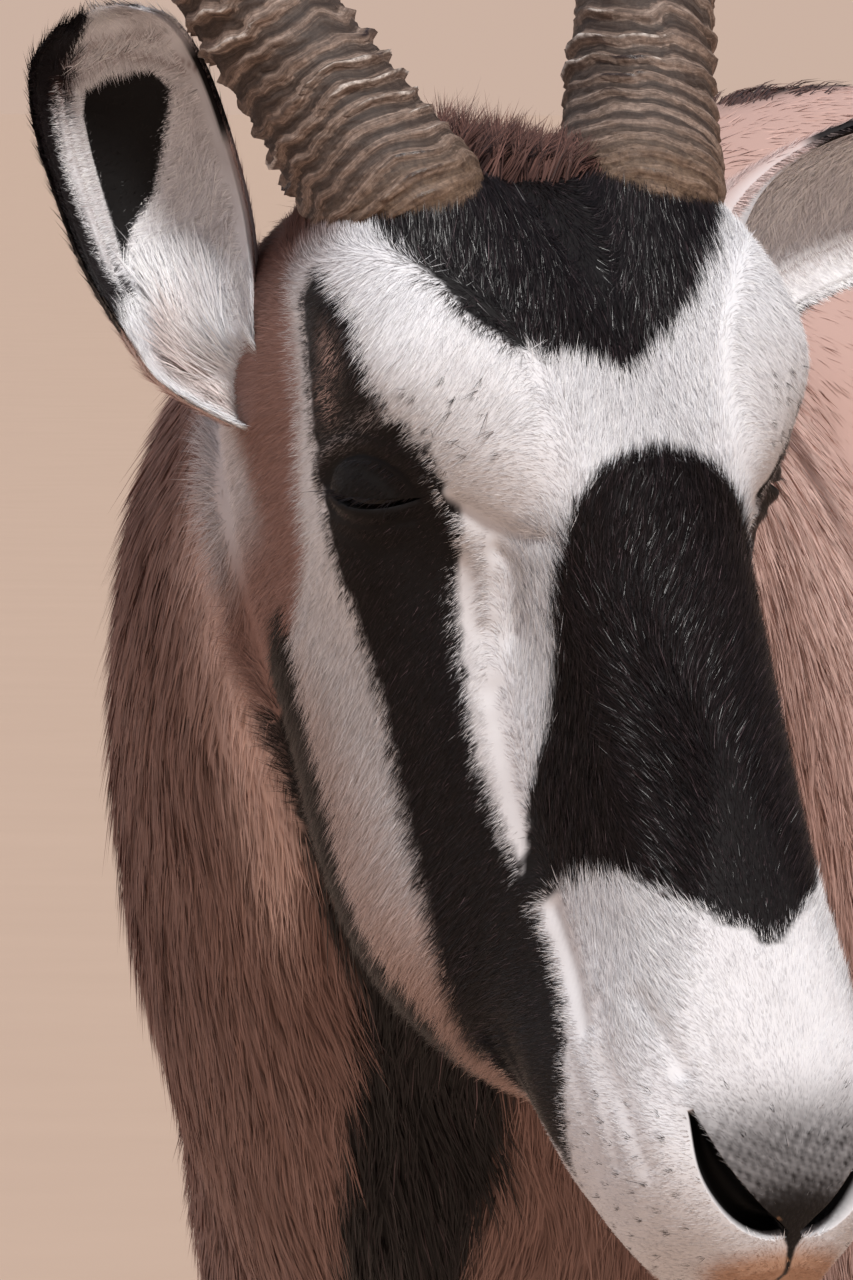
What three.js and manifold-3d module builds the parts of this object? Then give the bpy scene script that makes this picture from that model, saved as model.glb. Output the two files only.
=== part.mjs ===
// A standing gemsbok (Oryx gazella) at life size, with its head lowered and turned to its left.
// Millimetres, +Z up. The body faces -Y, its left side is +X, and the hooves stand on z = 0.
// Every surface includes the depth of the coat, so the solids reach the tips of the hair.
import * as THREE from "three";
import { mergeVertices } from "three/addons/utils/BufferGeometryUtils.js";
import Module from "manifold-3d";

const wasm = await Module();
wasm.setup();

// Driving dimensions
const GAP = 0.3; // between touching nodes
const WITHERS = 1210; // height of the shoulders
const EYE_HEIGHT = 1071; // the head hangs a little below the withers
const EYE_CENTRE = [245, -433]; // middle of the head over the floor, from the withers
const HEAD_TURN = 70; // degrees that the head looks to the animal's left
const FACE_TILT = 24.5; // degrees of the face from hanging straight down
const HEAD_ROLL = 1.5; // degrees that the animal's left eye is the higher one
const EYE_PLACE = { f: -6, u: -8, l: 64 }; // centre of an eyeball in the head's own frame
const EYE_RADIUS = 18;
const HORN_LENGTH = 860;
const HORN_SPREAD = 21.5; // degrees between a horn's root and the middle of the head
const HOOF_HEIGHT = 60;
const SIDES = { left: 1, right: -1 };

const rad = THREE.MathUtils.degToRad;
const lerp = THREE.MathUtils.lerp;
const clamp = THREE.MathUtils.clamp;
const vec = (x, y, z) => new THREE.Vector3(x, y, z);

// The same draw every time, for the small differences between locks
let seed = 7;
function random(low = 0, high = 1) {
  seed = (seed * 16807) % 2147483647;
  return low + ((high - low) * seed) / 2147483647;
}

// Smooth curve through the rows of a table, whose first column is the place along it
function alongTable(rows, at) {
  const last = rows.length - 1;
  const rising = rows[last][0] > rows[0][0] ? 1 : -1;
  let i = 0;
  while (i < last - 1 && (at - rows[i + 1][0]) * rising > 0) i++;
  const [a, b] = [rows[i], rows[i + 1]];
  const [before, after] = [rows[Math.max(i - 1, 0)], rows[Math.min(i + 2, last)]];
  const span = b[0] - a[0];
  const t = clamp((at - a[0]) / span, 0, 1);
  return a.map((p, k) => {
    if (k === 0) return at;
    const slopeA = ((b[k] - before[k]) / (b[0] - before[0])) * span;
    const slopeB = ((after[k] - p) / (after[0] - a[0])) * span;
    const [t2, t3] = [t * t, t * t * t];
    const held = (2 * t3 - 3 * t2 + 1) * p + (3 * t2 - 2 * t3) * b[k];
    return held + (t3 - 2 * t2 + t) * slopeA + (t3 - t2) * slopeB;
  });
}

// Evenly spaced places between two ends, both included
function places(from, to, count) {
  return Array.from({ length: count }, (_, i) => lerp(from, to, i / (count - 1)));
}

// Closed skin over rings that all have the same number of points, with a flat fan at either end
function skinOver(rings) {
  const n = rings[0].length;
  const points = rings.flat();
  const index = [];
  for (let r = 0; r < rings.length - 1; r++)
    for (let i = 0; i < n; i++) {
      const [a, b] = [r * n + i, r * n + ((i + 1) % n)];
      index.push(a, b, b + n, a, b + n, a + n);
    }
  [0, rings.length - 1].forEach((r) => {
    const middle = rings[r].reduce((sum, p) => sum.add(p), vec(0, 0, 0)).divideScalar(n);
    points.push(middle);
    for (let i = 0; i < n; i++) {
      const [a, b] = [r * n + i, r * n + ((i + 1) % n)];
      index.push(...(r === 0 ? [b, a, points.length - 1] : [a, b, points.length - 1]));
    }
  });
  return new THREE.BufferGeometry().setFromPoints(points).setIndex(index);
}

// A closed geometry as a solid for joining and cutting, with its faces turned outwards
function solid(geometry) {
  const bare = geometry.clone();
  bare.deleteAttribute("normal");
  bare.deleteAttribute("uv");
  const merged = mergeVertices(bare, 1e-3);
  const triVerts = new Uint32Array(merged.index.array);
  const vertProperties = merged.attributes.position.array;
  const made = new wasm.Manifold(new wasm.Mesh({ numProp: 3, vertProperties, triVerts }));
  if (made.volume() > 0) return made;
  for (let i = 0; i < triVerts.length; i += 3)
    [triVerts[i + 1], triVerts[i + 2]] = [triVerts[i + 2], triVerts[i + 1]];
  return new wasm.Manifold(new wasm.Mesh({ numProp: 3, vertProperties, triVerts }));
}

// The largest closed body of a solid, which drops any scrap that a cut leaves
function largest(manifold) {
  return manifold.decompose().reduce((a, b) => (b.volume() > a.volume() ? b : a));
}

function geometryOf(manifold) {
  const mesh = manifold.getMesh();
  const position = new Float32Array(mesh.numVert * 3);
  for (let i = 0; i < mesh.numVert; i++)
    position.set(mesh.vertProperties.subarray(i * mesh.numProp, i * mesh.numProp + 3), i * 3);
  const geometry = new THREE.BufferGeometry();
  geometry.setAttribute("position", new THREE.BufferAttribute(position, 3));
  geometry.setIndex(new THREE.BufferAttribute(mesh.triVerts, 1));
  geometry.computeVertexNormals();
  return geometry;
}

const union = (list) => list.reduce((a, b) => a.add(b));

// Rounded section, wider or squarer above and below its widest line, as [sideways, upwards] pairs
function oval(sides, { half, up, down, squareUp = 2, squareDown = 2 }) {
  return Array.from({ length: sides }, (_, i) => {
    const a = (2 * Math.PI * i) / sides;
    const [c, s] = [Math.cos(a), Math.sin(a)];
    const power = 2 / (s > 0 ? squareUp : squareDown);
    const out = half * Math.sign(c) * Math.abs(c) ** power;
    return [out, (s > 0 ? up : down) * Math.sign(s) * Math.abs(s) ** power];
  });
}

// Materials, with the colours of the photographed animal
const matt = (color) => new THREE.MeshStandardMaterial({ color, roughness: 0.9, metalness: 0 });
const MATERIALS = {
  fawn: matt("#8d6a5a"),
  face: matt("#d9d4ce"),
  black: matt("#191213"),
  white: matt("#d8d2ca"),
  horn: new THREE.MeshStandardMaterial({ color: "#5d4f41", roughness: 0.7, metalness: 0 }),
  hoof: new THREE.MeshStandardMaterial({ color: "#1d1a18", roughness: 0.5, metalness: 0 }),
  eye: new THREE.MeshStandardMaterial({ color: "#120c09", roughness: 0.08, metalness: 0 }),
};

// Trunk: y, top, bottom, half width, height of the widest line, squareness above and below it
const TRUNK = [
  [-232, 940, 770, 50, 850, 2, 2],
  [-205, 1020, 705, 112, 850, 2, 2],
  [-130, 1128, 650, 166, 855, 1.9, 2],
  [-50, 1192, 622, 192, 850, 1.8, 2],
  [50, WITHERS, 606, 207, 845, 1.75, 2],
  [180, 1184, 598, 222, 845, 1.9, 2.1],
  [340, 1160, 592, 237, 845, 2.1, 2.1],
  [500, 1154, 598, 240, 850, 2.2, 2.1],
  [650, 1162, 622, 232, 865, 2.2, 2.1],
  [780, 1170, 664, 215, 885, 2.1, 2],
  [880, 1158, 710, 190, 905, 2, 2],
  [960, 1120, 770, 148, 925, 2, 2],
  [1000, 1064, 830, 95, 945, 2, 2],
  [1014, 1000, 890, 35, 945, 2, 2],
];

function trunk() {
  const rings = places(TRUNK[0][0], TRUNK.at(-1)[0], 20).map((at) => {
    const [y, top, bottom, half, wide, squareUp, squareDown] = alongTable(TRUNK, at);
    const shape = { half, up: top - wide, down: wide - bottom, squareUp, squareDown };
    return oval(22, shape).map(([x, z]) => vec(x, y, wide + z));
  });
  return solid(skinOver(rings));
}

// The head's own frame: f runs down the face to the nose, u out of the forehead, l to its left
const headFrame = new THREE.Matrix4();
const FORWARD = vec(Math.sin(rad(HEAD_TURN)), -Math.cos(rad(HEAD_TURN)), 0);
{
  const up = vec(0, 0, 1);
  const l = up.clone().cross(FORWARD).applyAxisAngle(FORWARD, rad(HEAD_ROLL));
  const trueUp = FORWARD.clone().cross(l);
  const tilt = rad(FACE_TILT);
  const f = FORWARD.clone().multiplyScalar(Math.sin(tilt)).addScaledVector(trueUp, -Math.cos(tilt));
  const u = FORWARD.clone().multiplyScalar(Math.cos(tilt)).addScaledVector(trueUp, Math.sin(tilt));
  headFrame.makeBasis(f, u, l).setPosition(...EYE_CENTRE, EYE_HEIGHT);
}
const inHead = (f, u, l) => vec(f, u, l).applyMatrix4(headFrame);

// Head: f, then u of the midline above, [u, half width] of the upper edge, the side, the cheek,
// the jaw and the lower edge, and u of the midline below
const HEAD = [
  [-118, 12, 8, 40, -8, 60, -44, 64, -74, 56, -92, 34, -97],
  [-100, 31, 28, 49, 8, 73, -38, 77, -78, 67, -105, 41, -110],
  [-75, 43, 41, 60, 22, 86, -34, 85, -84, 73, -116, 45, -122],
  [-40, 52, 50, 59, 28, 86, -32, 85, -88, 74, -126, 45, -132],
  [-5, 54, 50, 47, 26, 73, -32, 83, -92, 72, -130, 45, -136],
  [30, 53, 46, 33, 16, 50, -32, 75, -92, 70, -131, 44, -137],
  [75, 50, 42, 30, 10, 45, -32, 64, -92, 68, -132, 46, -139],
  [120, 47, 39, 29, 8, 44, -32, 56, -86, 64, -123, 46, -130],
  [165, 44, 36, 30, 5, 46, -32, 52, -69, 53, -97, 40, -103],
  [205, 41, 32, 34, 3, 53, -30, 53, -49, 42, -62, 28, -65],
  [240, 35, 26, 35, 0, 52, -26, 49, -41, 36, -51, 24, -53],
  [266, 23, 15, 29, -4, 42, -22, 40, -35, 28, -45, 18, -47],
  [284, 6, 1, 15, -8, 22, -18, 21, -27, 16, -33, 10, -34],
];

// Soft swellings and hollows on both sides: f, u, half width of the place, reach along f and
// round the head, and how far the skin stands out
const HEAD_FORMS = [
  { f: -30, u: 30, l: 78, along: 22, round: 16, out: 4 }, // brow over the eye
  { f: -96, u: 20, l: 50, along: 20, round: 26, out: 4 }, // bone under the horn
  { f: -62, u: -6, l: 80, along: 22, round: 20, out: -5 }, // temple
  { f: 14, u: -20, l: 76, along: 20, round: 15, out: 4 }, // rim of bone under the eye
  { f: 58, u: 12, l: 54, along: 26, round: 15, out: -4 }, // hollow in front of the eye
  { f: 8, u: -84, l: 66, along: 44, round: 26, out: 4 }, // jaw muscle
  { f: 242, u: 10, l: 36, along: 20, round: 15, out: 5 }, // wing of the nostril
  { f: 205, u: -34, l: 46, along: 40, round: 14, out: 4 }, // upper lip
  { f: 190, u: -62, l: 30, along: 40, round: 10, out: -3 }, // under the lip
];

// One section of the head as [u, l] pairs round the outline, counted from the midline above
function headSection(row, perSpan) {
  const [, top, u1, l1, u2, l2, u3, l3, u4, l4, u5, l5, bottom] = row;
  const left = [[u1, l1], [u2, l2], [u3, l3], [u4, l4], [u5, l5]];
  const right = left.map(([u, l]) => [u, -l]).reverse();
  const outline = [[top, 0], ...left, [bottom, 0], ...right].map(([u, l]) => vec(u, l, 0));
  const curve = new THREE.CatmullRomCurve3(outline, true, "centripetal");
  const count = outline.length * perSpan;
  return Array.from({ length: count }, (_, i) => curve.getPoint(i / count));
}

// How far the head's surface is pushed out at a place
function headRelief(f, u, l) {
  return HEAD_FORMS.reduce((sum, form) => {
    const d = ((f - form.f) / form.along) ** 2;
    const e = ((u - form.u) ** 2 + (Math.abs(l) - form.l) ** 2) / form.round ** 2;
    return sum + form.out * Math.exp(-d - e);
  }, 0);
}

function headLoft(inflate, rows = 23, perSpan = 3) {
  const [first, last] = [HEAD[0][0], HEAD.at(-1)[0]];
  const rings = places(0, 1, rows).map((t) => {
    const f = lerp(first, last, t);
    const row = alongTable(HEAD, f);
    const middle = (row[1] + row.at(-1)) / 2;
    const past = inflate * (2 * t - 1);
    return headSection(row, perSpan).map((p) => {
      const [u, l] = [p.x, p.y];
      const out = vec(u - middle, l, 0).normalize();
      out.multiplyScalar(inflate + headRelief(f, u, l));
      return inHead(f + past, u + out.x, l + out.y);
    });
  });
  return solid(skinOver(rings));
}

// Eyes look outwards, and a little up the forehead and towards the nose
const EYE_LOOK = { f: 0.2, u: 0.3, l: 0.93 };
const EYE_SLIT = { f: 0.45, u: 0.81, l: -0.36 }; // from the outer corner to the inner one
const LID = 3; // thickness over the eyeball
const SLIT = { half: 18, open: 3, low: 1, outer: 3 };

function eyeFrame(side) {
  const out = vec(EYE_LOOK.f, EYE_LOOK.u, side * EYE_LOOK.l).normalize();
  const along = vec(EYE_SLIT.f, EYE_SLIT.u, side * EYE_SLIT.l);
  along.addScaledVector(out, -along.dot(out)).normalize();
  const lidUp = out.clone().cross(along);
  if (lidUp.x > 0) lidUp.negate(); // the upper lid is the one away from the nose
  const frame = new THREE.Matrix4().makeBasis(along, lidUp, out);
  frame.setPosition(EYE_PLACE.f, EYE_PLACE.u, side * EYE_PLACE.l);
  return frame.premultiply(headFrame);
}

function eyeball(side, radius) {
  const ball = new THREE.SphereGeometry(radius, 16, 10).rotateX(Math.PI / 2);
  return solid(ball.applyMatrix4(eyeFrame(side)));
}

// The gap between the lids, an almond driven outwards from the middle of the eye
function lidGap(side) {
  const almond = new THREE.Shape();
  almond.moveTo(-SLIT.half, 0);
  almond.quadraticCurveTo(0, SLIT.open * 2, SLIT.half, 0);
  almond.quadraticCurveTo(0, -SLIT.open * 2, -SLIT.half, 0);
  const reach = { depth: 2 * EYE_RADIUS, bevelEnabled: false, curveSegments: 6 };
  const cutter = new THREE.ExtrudeGeometry(almond, reach);
  cutter.translate(-SLIT.outer, -SLIT.low, 0);
  return solid(cutter.applyMatrix4(eyeFrame(side)));
}

// Each nostril is a curved slot from the side of the nose down to its tip
const NOSTRIL = [
  { f: 234, u: 21, l: 32, r: 2 },
  { f: 253, u: 14, l: 30, r: 4.5 },
  { f: 269, u: 6, l: 22, r: 5 },
  { f: 280, u: 2, l: 9, r: 2.5 },
];
const NOSTRIL_DEPTH = 12;

function nostril(side) {
  const path = new THREE.CatmullRomCurve3(NOSTRIL.map(({ f, u, l }) => vec(f, u, side * l)));
  const widths = NOSTRIL.map(({ r }, i) => [i / (NOSTRIL.length - 1), r]);
  const rings = places(0, 1, 7).map((t) => {
    const centre = path.getPoint(t);
    const out = centre.clone().sub(vec(225, -20, 0)).normalize();
    const across = path.getTangent(t).cross(out).normalize();
    const wide = alongTable(widths, t)[1];
    return oval(6, { half: wide, up: 14, down: NOSTRIL_DEPTH }).map(([x, y]) =>
      centre.clone().addScaledVector(across, x).addScaledVector(out, y).applyMatrix4(headFrame),
    );
  });
  return solid(skinOver(rings));
}

// The line of the mouth, a shallow groove round the muzzle
const MOUTH = { corner: 168, front: 300, u: -41, rise: 0.2, wide: 1.6, deep: 4 };

function mouthLine() {
  const slab = new THREE.BoxGeometry(MOUTH.front - MOUTH.corner, MOUTH.wide, 160);
  slab.rotateZ(MOUTH.rise);
  slab.translate((MOUTH.corner + MOUTH.front) / 2, MOUTH.u, 0);
  return solid(slab.applyMatrix4(headFrame)).subtract(headLoft(-MOUTH.deep, 16, 2));
}

// Neck: how far along, x, y, z of its middle, half width, height above and below the middle
const NECK = [
  [0, 0, 60, 900, 160, 300, 250],
  [0.2, 6, -80, 925, 165, 272, 240],
  [0.4, 34, -183, 965, 149, 225, 215],
  [0.6, 80, -269, 1010, 133, 178, 178],
  [0.8, 134, -349, 1052, 115, 138, 142],
  [1, 190, -409, 1085, 87, 106, 108],
  [1.15, 232, -438, 1096, 62, 84, 86],
];

// Middle, sideways, upward and forward directions of the neck at a place along it
function neckFrame(at) {
  const [, x, y, z] = alongTable(NECK, at);
  const ahead = alongTable(NECK, Math.min(at + 0.02, 1.15));
  const behind = alongTable(NECK, Math.max(at - 0.02, 0));
  const forward = vec(ahead[1] - behind[1], ahead[2] - behind[2], ahead[3] - behind[3]).normalize();
  const across = vec(0, 0, 1).cross(forward).normalize();
  return { middle: vec(x, y, z), across, up: forward.clone().cross(across), forward };
}

const NECK_END = 1.15;

function neck(inflate = 0) {
  const rings = places(0, NECK_END, 14).map((at) => {
    const [, , , , half, up, down] = alongTable(NECK, at);
    const { middle, across, up: dorsal } = neckFrame(at);
    const shape = { half: half + inflate, up: up + inflate, down: down + inflate, squareUp: 1.75 };
    return oval(22, shape).map(([x, z]) =>
      middle.clone().addScaledVector(across, x).addScaledVector(dorsal, z),
    );
  });
  return solid(skinOver(rings));
}

// Legs: height, x and y of the middle, half width, half depth. Left side; the right is mirrored
const FORELEG = [
  [900, 140, -10, 42, 112],
  [800, 150, -20, 54, 104],
  [730, 148, -6, 52, 88],
  [670, 136, 8, 45, 70],
  [600, 124, 4, 38, 53],
  [520, 115, -4, 32, 41],
  [440, 109, -10, 30, 34],
  [400, 108, -15, 31, 35],
  [355, 107, -12, 27, 30],
  [300, 106, -8, 20, 25],
  [220, 105, -6, 18, 23],
  [160, 104, -4, 23, 29],
  [125, 104, -9, 23, 27],
  [90, 104, -22, 23, 25],
  [HOOF_HEIGHT, 104, -34, 28, 31],
];
const HINDLEG = [
  [1000, 92, 800, 60, 110],
  [900, 122, 808, 87, 164],
  [800, 136, 806, 76, 165],
  [720, 138, 806, 62, 138],
  [640, 136, 838, 49, 100],
  [560, 130, 884, 39, 72],
  [500, 124, 917, 32, 54],
  [440, 120, 940, 28, 47],
  [400, 118, 942, 27, 40],
  [350, 116, 936, 23, 31],
  [280, 115, 928, 20, 26],
  [200, 114, 920, 18, 25],
  [155, 113, 914, 23, 29],
  [120, 113, 905, 23, 27],
  [90, 113, 892, 23, 25],
  [HOOF_HEIGHT, 113, 880, 28, 31],
];
const ELBOW = 640; // below this the legs part from the trunk, and lean with the stance
const LEGS = [
  { name: "fore_left", rows: FORELEG, side: 1, step: -46 },
  { name: "fore_right", rows: FORELEG, side: -1, step: 34 },
  { name: "hind_left", rows: HINDLEG, side: 1, step: 58 },
  { name: "hind_right", rows: HINDLEG, side: -1, step: -30 },
];

// How far a foot's step has carried the leg along y at a height
const stepAt = (leg, z) => leg.step * clamp(1 - z / ELBOW, 0, 1);

function legLoft(leg) {
  const [top, foot] = [leg.rows[0][0], HOOF_HEIGHT];
  const rings = places(0, 1, 20).map((t) => {
    const z = lerp(foot, top, t ** 1.25);
    const [, x, y, half, deep] = alongTable(leg.rows, z);
    return oval(12, { half, up: deep, down: deep, squareUp: 2.1, squareDown: 2.1 }).map(([a, b]) =>
      vec(leg.side * (x + a), y + b + stepAt(leg, z), z),
    );
  });
  return solid(skinOver(rings));
}

// Hooves: two long pointed toes side by side, each flat below
const HOOF = { width: 31, cleft: 3 };

function hoofToe(leg, toe) {
  const [, x, y] = alongTable(leg.rows, HOOF_HEIGHT);
  const middle = vec(leg.side * x, y + stepAt(leg, HOOF_HEIGHT), 0);
  const levels = [
    { z: HOOF_HEIGHT - GAP, front: -30, back: 27, wide: 26 },
    { z: HOOF_HEIGHT * 0.55, front: -52, back: 33, wide: 29 },
    { z: HOOF_HEIGHT * 0.2, front: -72, back: 36, wide: HOOF.width },
    { z: 0, front: -76, back: 35, wide: HOOF.width },
  ];
  const rings = levels.map(({ z, front, back, wide }) => {
    const outer = [[0, front], [0.55, front + 14], [0.9, front + 40], [1, back - 22], [0.75, back - 4]];
    return [...outer, [0, back - 2]].map(([across, along]) =>
      middle.clone().add(vec(toe * (HOOF.cleft / 2 + across * wide), along, z)),
    );
  });
  return solid(skinOver(rings));
}

// Dew claws, the two small knobs behind each fetlock
function dewClaws(leg) {
  const [z, back] = [132, 26];
  const [, x, y] = alongTable(leg.rows, z);
  return [-1, 1].map((toe) => {
    const claw = new THREE.SphereGeometry(1, 8, 6).scale(9, 9, 13);
    claw.translate(leg.side * x + toe * 12, y + stepAt(leg, z) + back, z - 4);
    return solid(claw);
  });
}

// A flat, tapered lock of hair: it leaves its root along one way and bends over to another
function lock({ root, leave, end, across, length, width, thick, steps = 3, sink = 8 }) {
  const way = (t) => leave.clone().lerp(end, t).normalize();
  const rings = [];
  let at = root.clone().addScaledVector(leave, -sink);
  for (let i = 0; i <= steps; i++) {
    const t = i / steps;
    const taper = Math.max(1 - t ** 1.6, 0.06);
    const face = way(t).cross(across).normalize();
    const side = across.clone().multiplyScalar((width / 2) * taper);
    const front = face.multiplyScalar((thick / 2) * Math.max(taper, 0.25));
    rings.push([side, front, side.clone().negate(), front.clone().negate()].map((p) => p.add(at)));
    at = at.clone().addScaledVector(way(t), (length + (i === 0 ? sink : 0)) / steps);
  }
  return solid(skinOver(rings));
}

// The short mane stands up from behind the horns to the withers, and leans back over itself
const MANE = { from: 0.99, to: 0.2, count: 15, length: 58, width: 52, thick: 13 };

function mane() {
  return places(MANE.from, MANE.to, MANE.count).flatMap((at, i) => {
    const { middle, across, up, forward } = neckFrame(at);
    const [, , , , , top] = alongTable(NECK, at);
    const length = MANE.length * lerp(0.7, 1, Math.sin((Math.PI * i) / MANE.count));
    return [-1, 1].map((side) => {
      const root = middle.clone().addScaledVector(up, top - 8).addScaledVector(across, side * 9);
      root.addScaledVector(forward, side * 7 + random(-3, 3));
      const leave = up.clone().addScaledVector(forward, -0.35).addScaledVector(across, side * 0.3);
      const end = up.clone().addScaledVector(forward, -2.2).addScaledVector(across, side * 0.15);
      const size = { length: length * random(0.9, 1.15), width: MANE.width, thick: MANE.thick };
      const flat = forward.clone().addScaledVector(up, 0.3).normalize();
      return lock({ root, leave: leave.normalize(), end: end.normalize(), across: flat, ...size });
    });
  });
}

// Two rows of longer hair behind the horns, combed back over the top of the neck
const POLL = { f: -106, u: 10, spread: 27, count: 5, length: 52, width: 40, thick: 14 };

function pollTuft() {
  const local = (f, u, l) => vec(f, u, l).transformDirection(headFrame);
  return [0, 1].flatMap((row) =>
    places(-1, 1, POLL.count - row).map((s) => {
      const root = inHead(POLL.f - row * 14, POLL.u - row * 12, s * POLL.spread);
      const end = local(-1, -1.1, s * 0.5 + random(-0.2, 0.2));
      const size = { length: POLL.length * random(0.9, 1.1), width: POLL.width, thick: POLL.thick };
      const leave = local(-1, 0.45, s * 0.3);
      return lock({ root, leave, end, across: local(0, 0, 1), ...size, sink: 18 });
    }),
  );
}

// Tail: height, y, radius; the bone part ends in long hair that reaches the hocks
const TAIL = [
  [1118, 955, 30],
  [1086, 1012, 27],
  [1010, 1058, 21],
  [920, 1078, 16],
  [830, 1084, 13],
  [740, 1082, 9],
];
const TAIL_HAIR = { from: 890, to: 755, count: 16, low: 420, width: 32, thick: 12 };

function tailBone() {
  const path = new THREE.CatmullRomCurve3(TAIL.map(([z, y]) => vec(0, y, z)));
  const rings = places(0, 1, 11).map((t) => {
    const centre = path.getPoint(t);
    const down = path.getTangent(t);
    const back = vec(1, 0, 0).cross(down).normalize();
    const radius = alongTable(TAIL.map(([, , r], i) => [i / (TAIL.length - 1), r]), t)[1];
    return oval(10, { half: radius, up: radius, down: radius }).map(([x, y]) =>
      centre.clone().add(vec(x, 0, 0)).addScaledVector(back, y),
    );
  });
  return solid(skinOver(rings));
}

function tailHair() {
  return places(0, 1, TAIL_HAIR.count).map((t, i) => {
    const z = lerp(TAIL_HAIR.from, TAIL_HAIR.to, t);
    const [, y, radius] = alongTable(TAIL, z);
    const turn = i * 2.4; // each root is a step further round the bone
    const out = vec(Math.cos(turn), Math.sin(turn), 0);
    const root = vec(0, y, z).addScaledVector(out, radius * 0.6);
    const leave = out.clone().multiplyScalar(0.25).add(vec(0, 0, -1)).normalize();
    const end = vec(out.x * 0.02, out.y * 0.02, -1).normalize();
    const length = (z - TAIL_HAIR.low) * random(0.72, 1) * lerp(0.62, 1, t);
    const size = { length, width: TAIL_HAIR.width, thick: TAIL_HAIR.thick, steps: 4 };
    return lock({ root, leave, end, across: vec(-out.y, out.x, 0), ...size });
  });
}

// Horns: long, nearly straight, ringed over the lower two thirds
const HORN_ROOT = { f: -100, u: 12, l: 47 };
const HORN = { root: 28, deep: 1.04, sunk: 20, back: 5, bend: 11, rings: 18, ringEnd: 0.62, ridge: 2.6 };
// Share of the horn's length, and its radius there as a share of the root's
const HORN_TAPER = [
  [0, 1.08],
  [0.03, 0.94],
  [0.08, 0.84],
  [0.3, 0.72],
  [0.6, 0.53],
  [0.85, 0.26],
  [1, 0.05],
];

// Middle of a horn and its direction at a share of its length, in the head's own frame
function hornAt(side, share) {
  const turn = rad(HORN_SPREAD) - rad(HORN.bend) * share;
  const half = rad(HORN_SPREAD) - (rad(HORN.bend) * share) / 2;
  const length = HORN_LENGTH * share;
  const f = HORN_ROOT.f - Math.cos(half) * length;
  const l = side * (HORN_ROOT.l + Math.sin(half) * length);
  const swept = -Math.sin(rad(HORN.back));
  const way = vec(-Math.cos(turn), swept, side * Math.sin(turn)).normalize();
  return { f, u: HORN_ROOT.u + swept * length, l, way };
}

function horn(side, inflate = 0) {
  const stops = [-HORN.sunk / HORN_LENGTH];
  for (let i = 0; i < HORN.rings; i++) {
    const at = HORN.ringEnd * (i / HORN.rings) ** 1.15 + 0.008;
    stops.push(at, at + 0.35 * (HORN.ringEnd / HORN.rings));
  }
  stops.push(...places(HORN.ringEnd + 0.02, 1, 7));
  const rings = stops.map((share, i) => {
    const { f, u, l, way } = hornAt(side, Math.max(share, 0));
    const ringed = share > 0 && share < HORN.ringEnd;
    const ridge = ringed ? (i % 2 ? -0.4 : 1) * HORN.ridge * (1 - 0.5 * share) : 0;
    const radius = HORN.root * alongTable(HORN_TAPER, Math.max(share, 0))[1] + ridge + inflate;
    const across = vec(0, 1, 0).cross(way).normalize();
    const sunk = Math.min(share, 0) * HORN_LENGTH;
    const centre = vec(f, u, l).addScaledVector(way, sunk);
    const shape = { half: radius, up: radius * HORN.deep, down: radius * HORN.deep };
    return oval(10, shape).map(([x, y]) => {
      const p = centre.clone().addScaledVector(across, x).add(vec(0, y, 0));
      return p.applyMatrix4(headFrame);
    });
  });
  return solid(skinOver(rings));
}

// Ears: a cupped leaf. Share of the length, half width, how far the rims curl forward, and how
// open the cup is
const EAR_LENGTH = 156;
const EAR = [
  [0, 9, 1, 0],
  [0.08, 15, 0.95, 0],
  [0.25, 23, 0.8, 0.3],
  [0.42, 28, 0.62, 0.8],
  [0.6, 31, 0.5, 1],
  [0.78, 30, 0.42, 1],
  [0.9, 24, 0.36, 0.9],
  [0.96, 16, 0.3, 0.7],
  [1, 6, 0.2, 0.3],
];
const EAR_WALL = 5;

// Direction of an ear's length and the way its opening faces, in the head's own frame
const EAR_POSE = {
  right: { root: [-54, -75, -78], along: [-0.935, 0.26, -0.24], faces: [0.35, 0.78, -0.53] },
  left: { root: [-76, -52, 64], along: [-0.37, 0.13, 0.92], faces: [0.66, 0.68, 0.3] },
};

function ear(name) {
  const along = vec(...EAR_POSE[name].along).normalize();
  const faces = vec(...EAR_POSE[name].faces);
  faces.addScaledVector(along, -faces.dot(along)).normalize();
  const across = along.clone().cross(faces);
  const root = vec(...EAR_POSE[name].root);
  const rings = places(0, 1, 14).map((t) => {
    const [, half, curl, open] = alongTable(EAR, t);
    const middle = root.clone().addScaledVector(along, t * EAR_LENGTH);
    middle.addScaledVector(faces, 10 * t - 14 * Math.sin(Math.PI * t));
    const turn = 1.25 * lerp(0.45, 1.35, curl); // how far round the rims come
    const point = (sideways, forward) =>
      middle.clone().addScaledVector(across, sideways).addScaledVector(faces, forward);
    const arc = places(-turn, turn, 9).map((a) => ({
      sideways: (half * Math.sin(a)) / Math.sin(Math.min(turn, Math.PI / 2)),
      forward: half * (0.6 - 0.95 * Math.cos(a)),
    }));
    const outer = arc.map(({ sideways, forward }) => point(sideways, forward));
    const filled = EAR_WALL + lerp(half * 0.9, 0, open); // the cup is shut at its root
    const narrower = half / (half + EAR_WALL);
    const inner = arc.slice(1, -1).reverse();
    const cup = inner.map(({ sideways, forward }) => point(sideways * narrower, forward + filled));
    return [...outer, ...cup].map((p) => p.applyMatrix4(headFrame));
  });
  return solid(skinOver(rings));
}

// A block of space in which one node lies, for parting the whole body with thin cuts
function block(low, high, frame = new THREE.Matrix4()) {
  const size = vec(...high).sub(vec(...low));
  const box = new THREE.BoxGeometry(size.x, size.y, size.z);
  box.translate(...vec(...low).add(vec(...high)).divideScalar(2).toArray());
  return solid(box.applyMatrix4(frame));
}

// The head's block ends behind the ears, square to the neck
const HEAD_CUT = 0.97;

function headBlock(grow) {
  const { middle, across, up, forward } = neckFrame(HEAD_CUT);
  const frame = new THREE.Matrix4().makeBasis(across, up, forward).setPosition(middle);
  return block([-400, -600, -grow], [400, 400, 700], frame);
}

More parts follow.
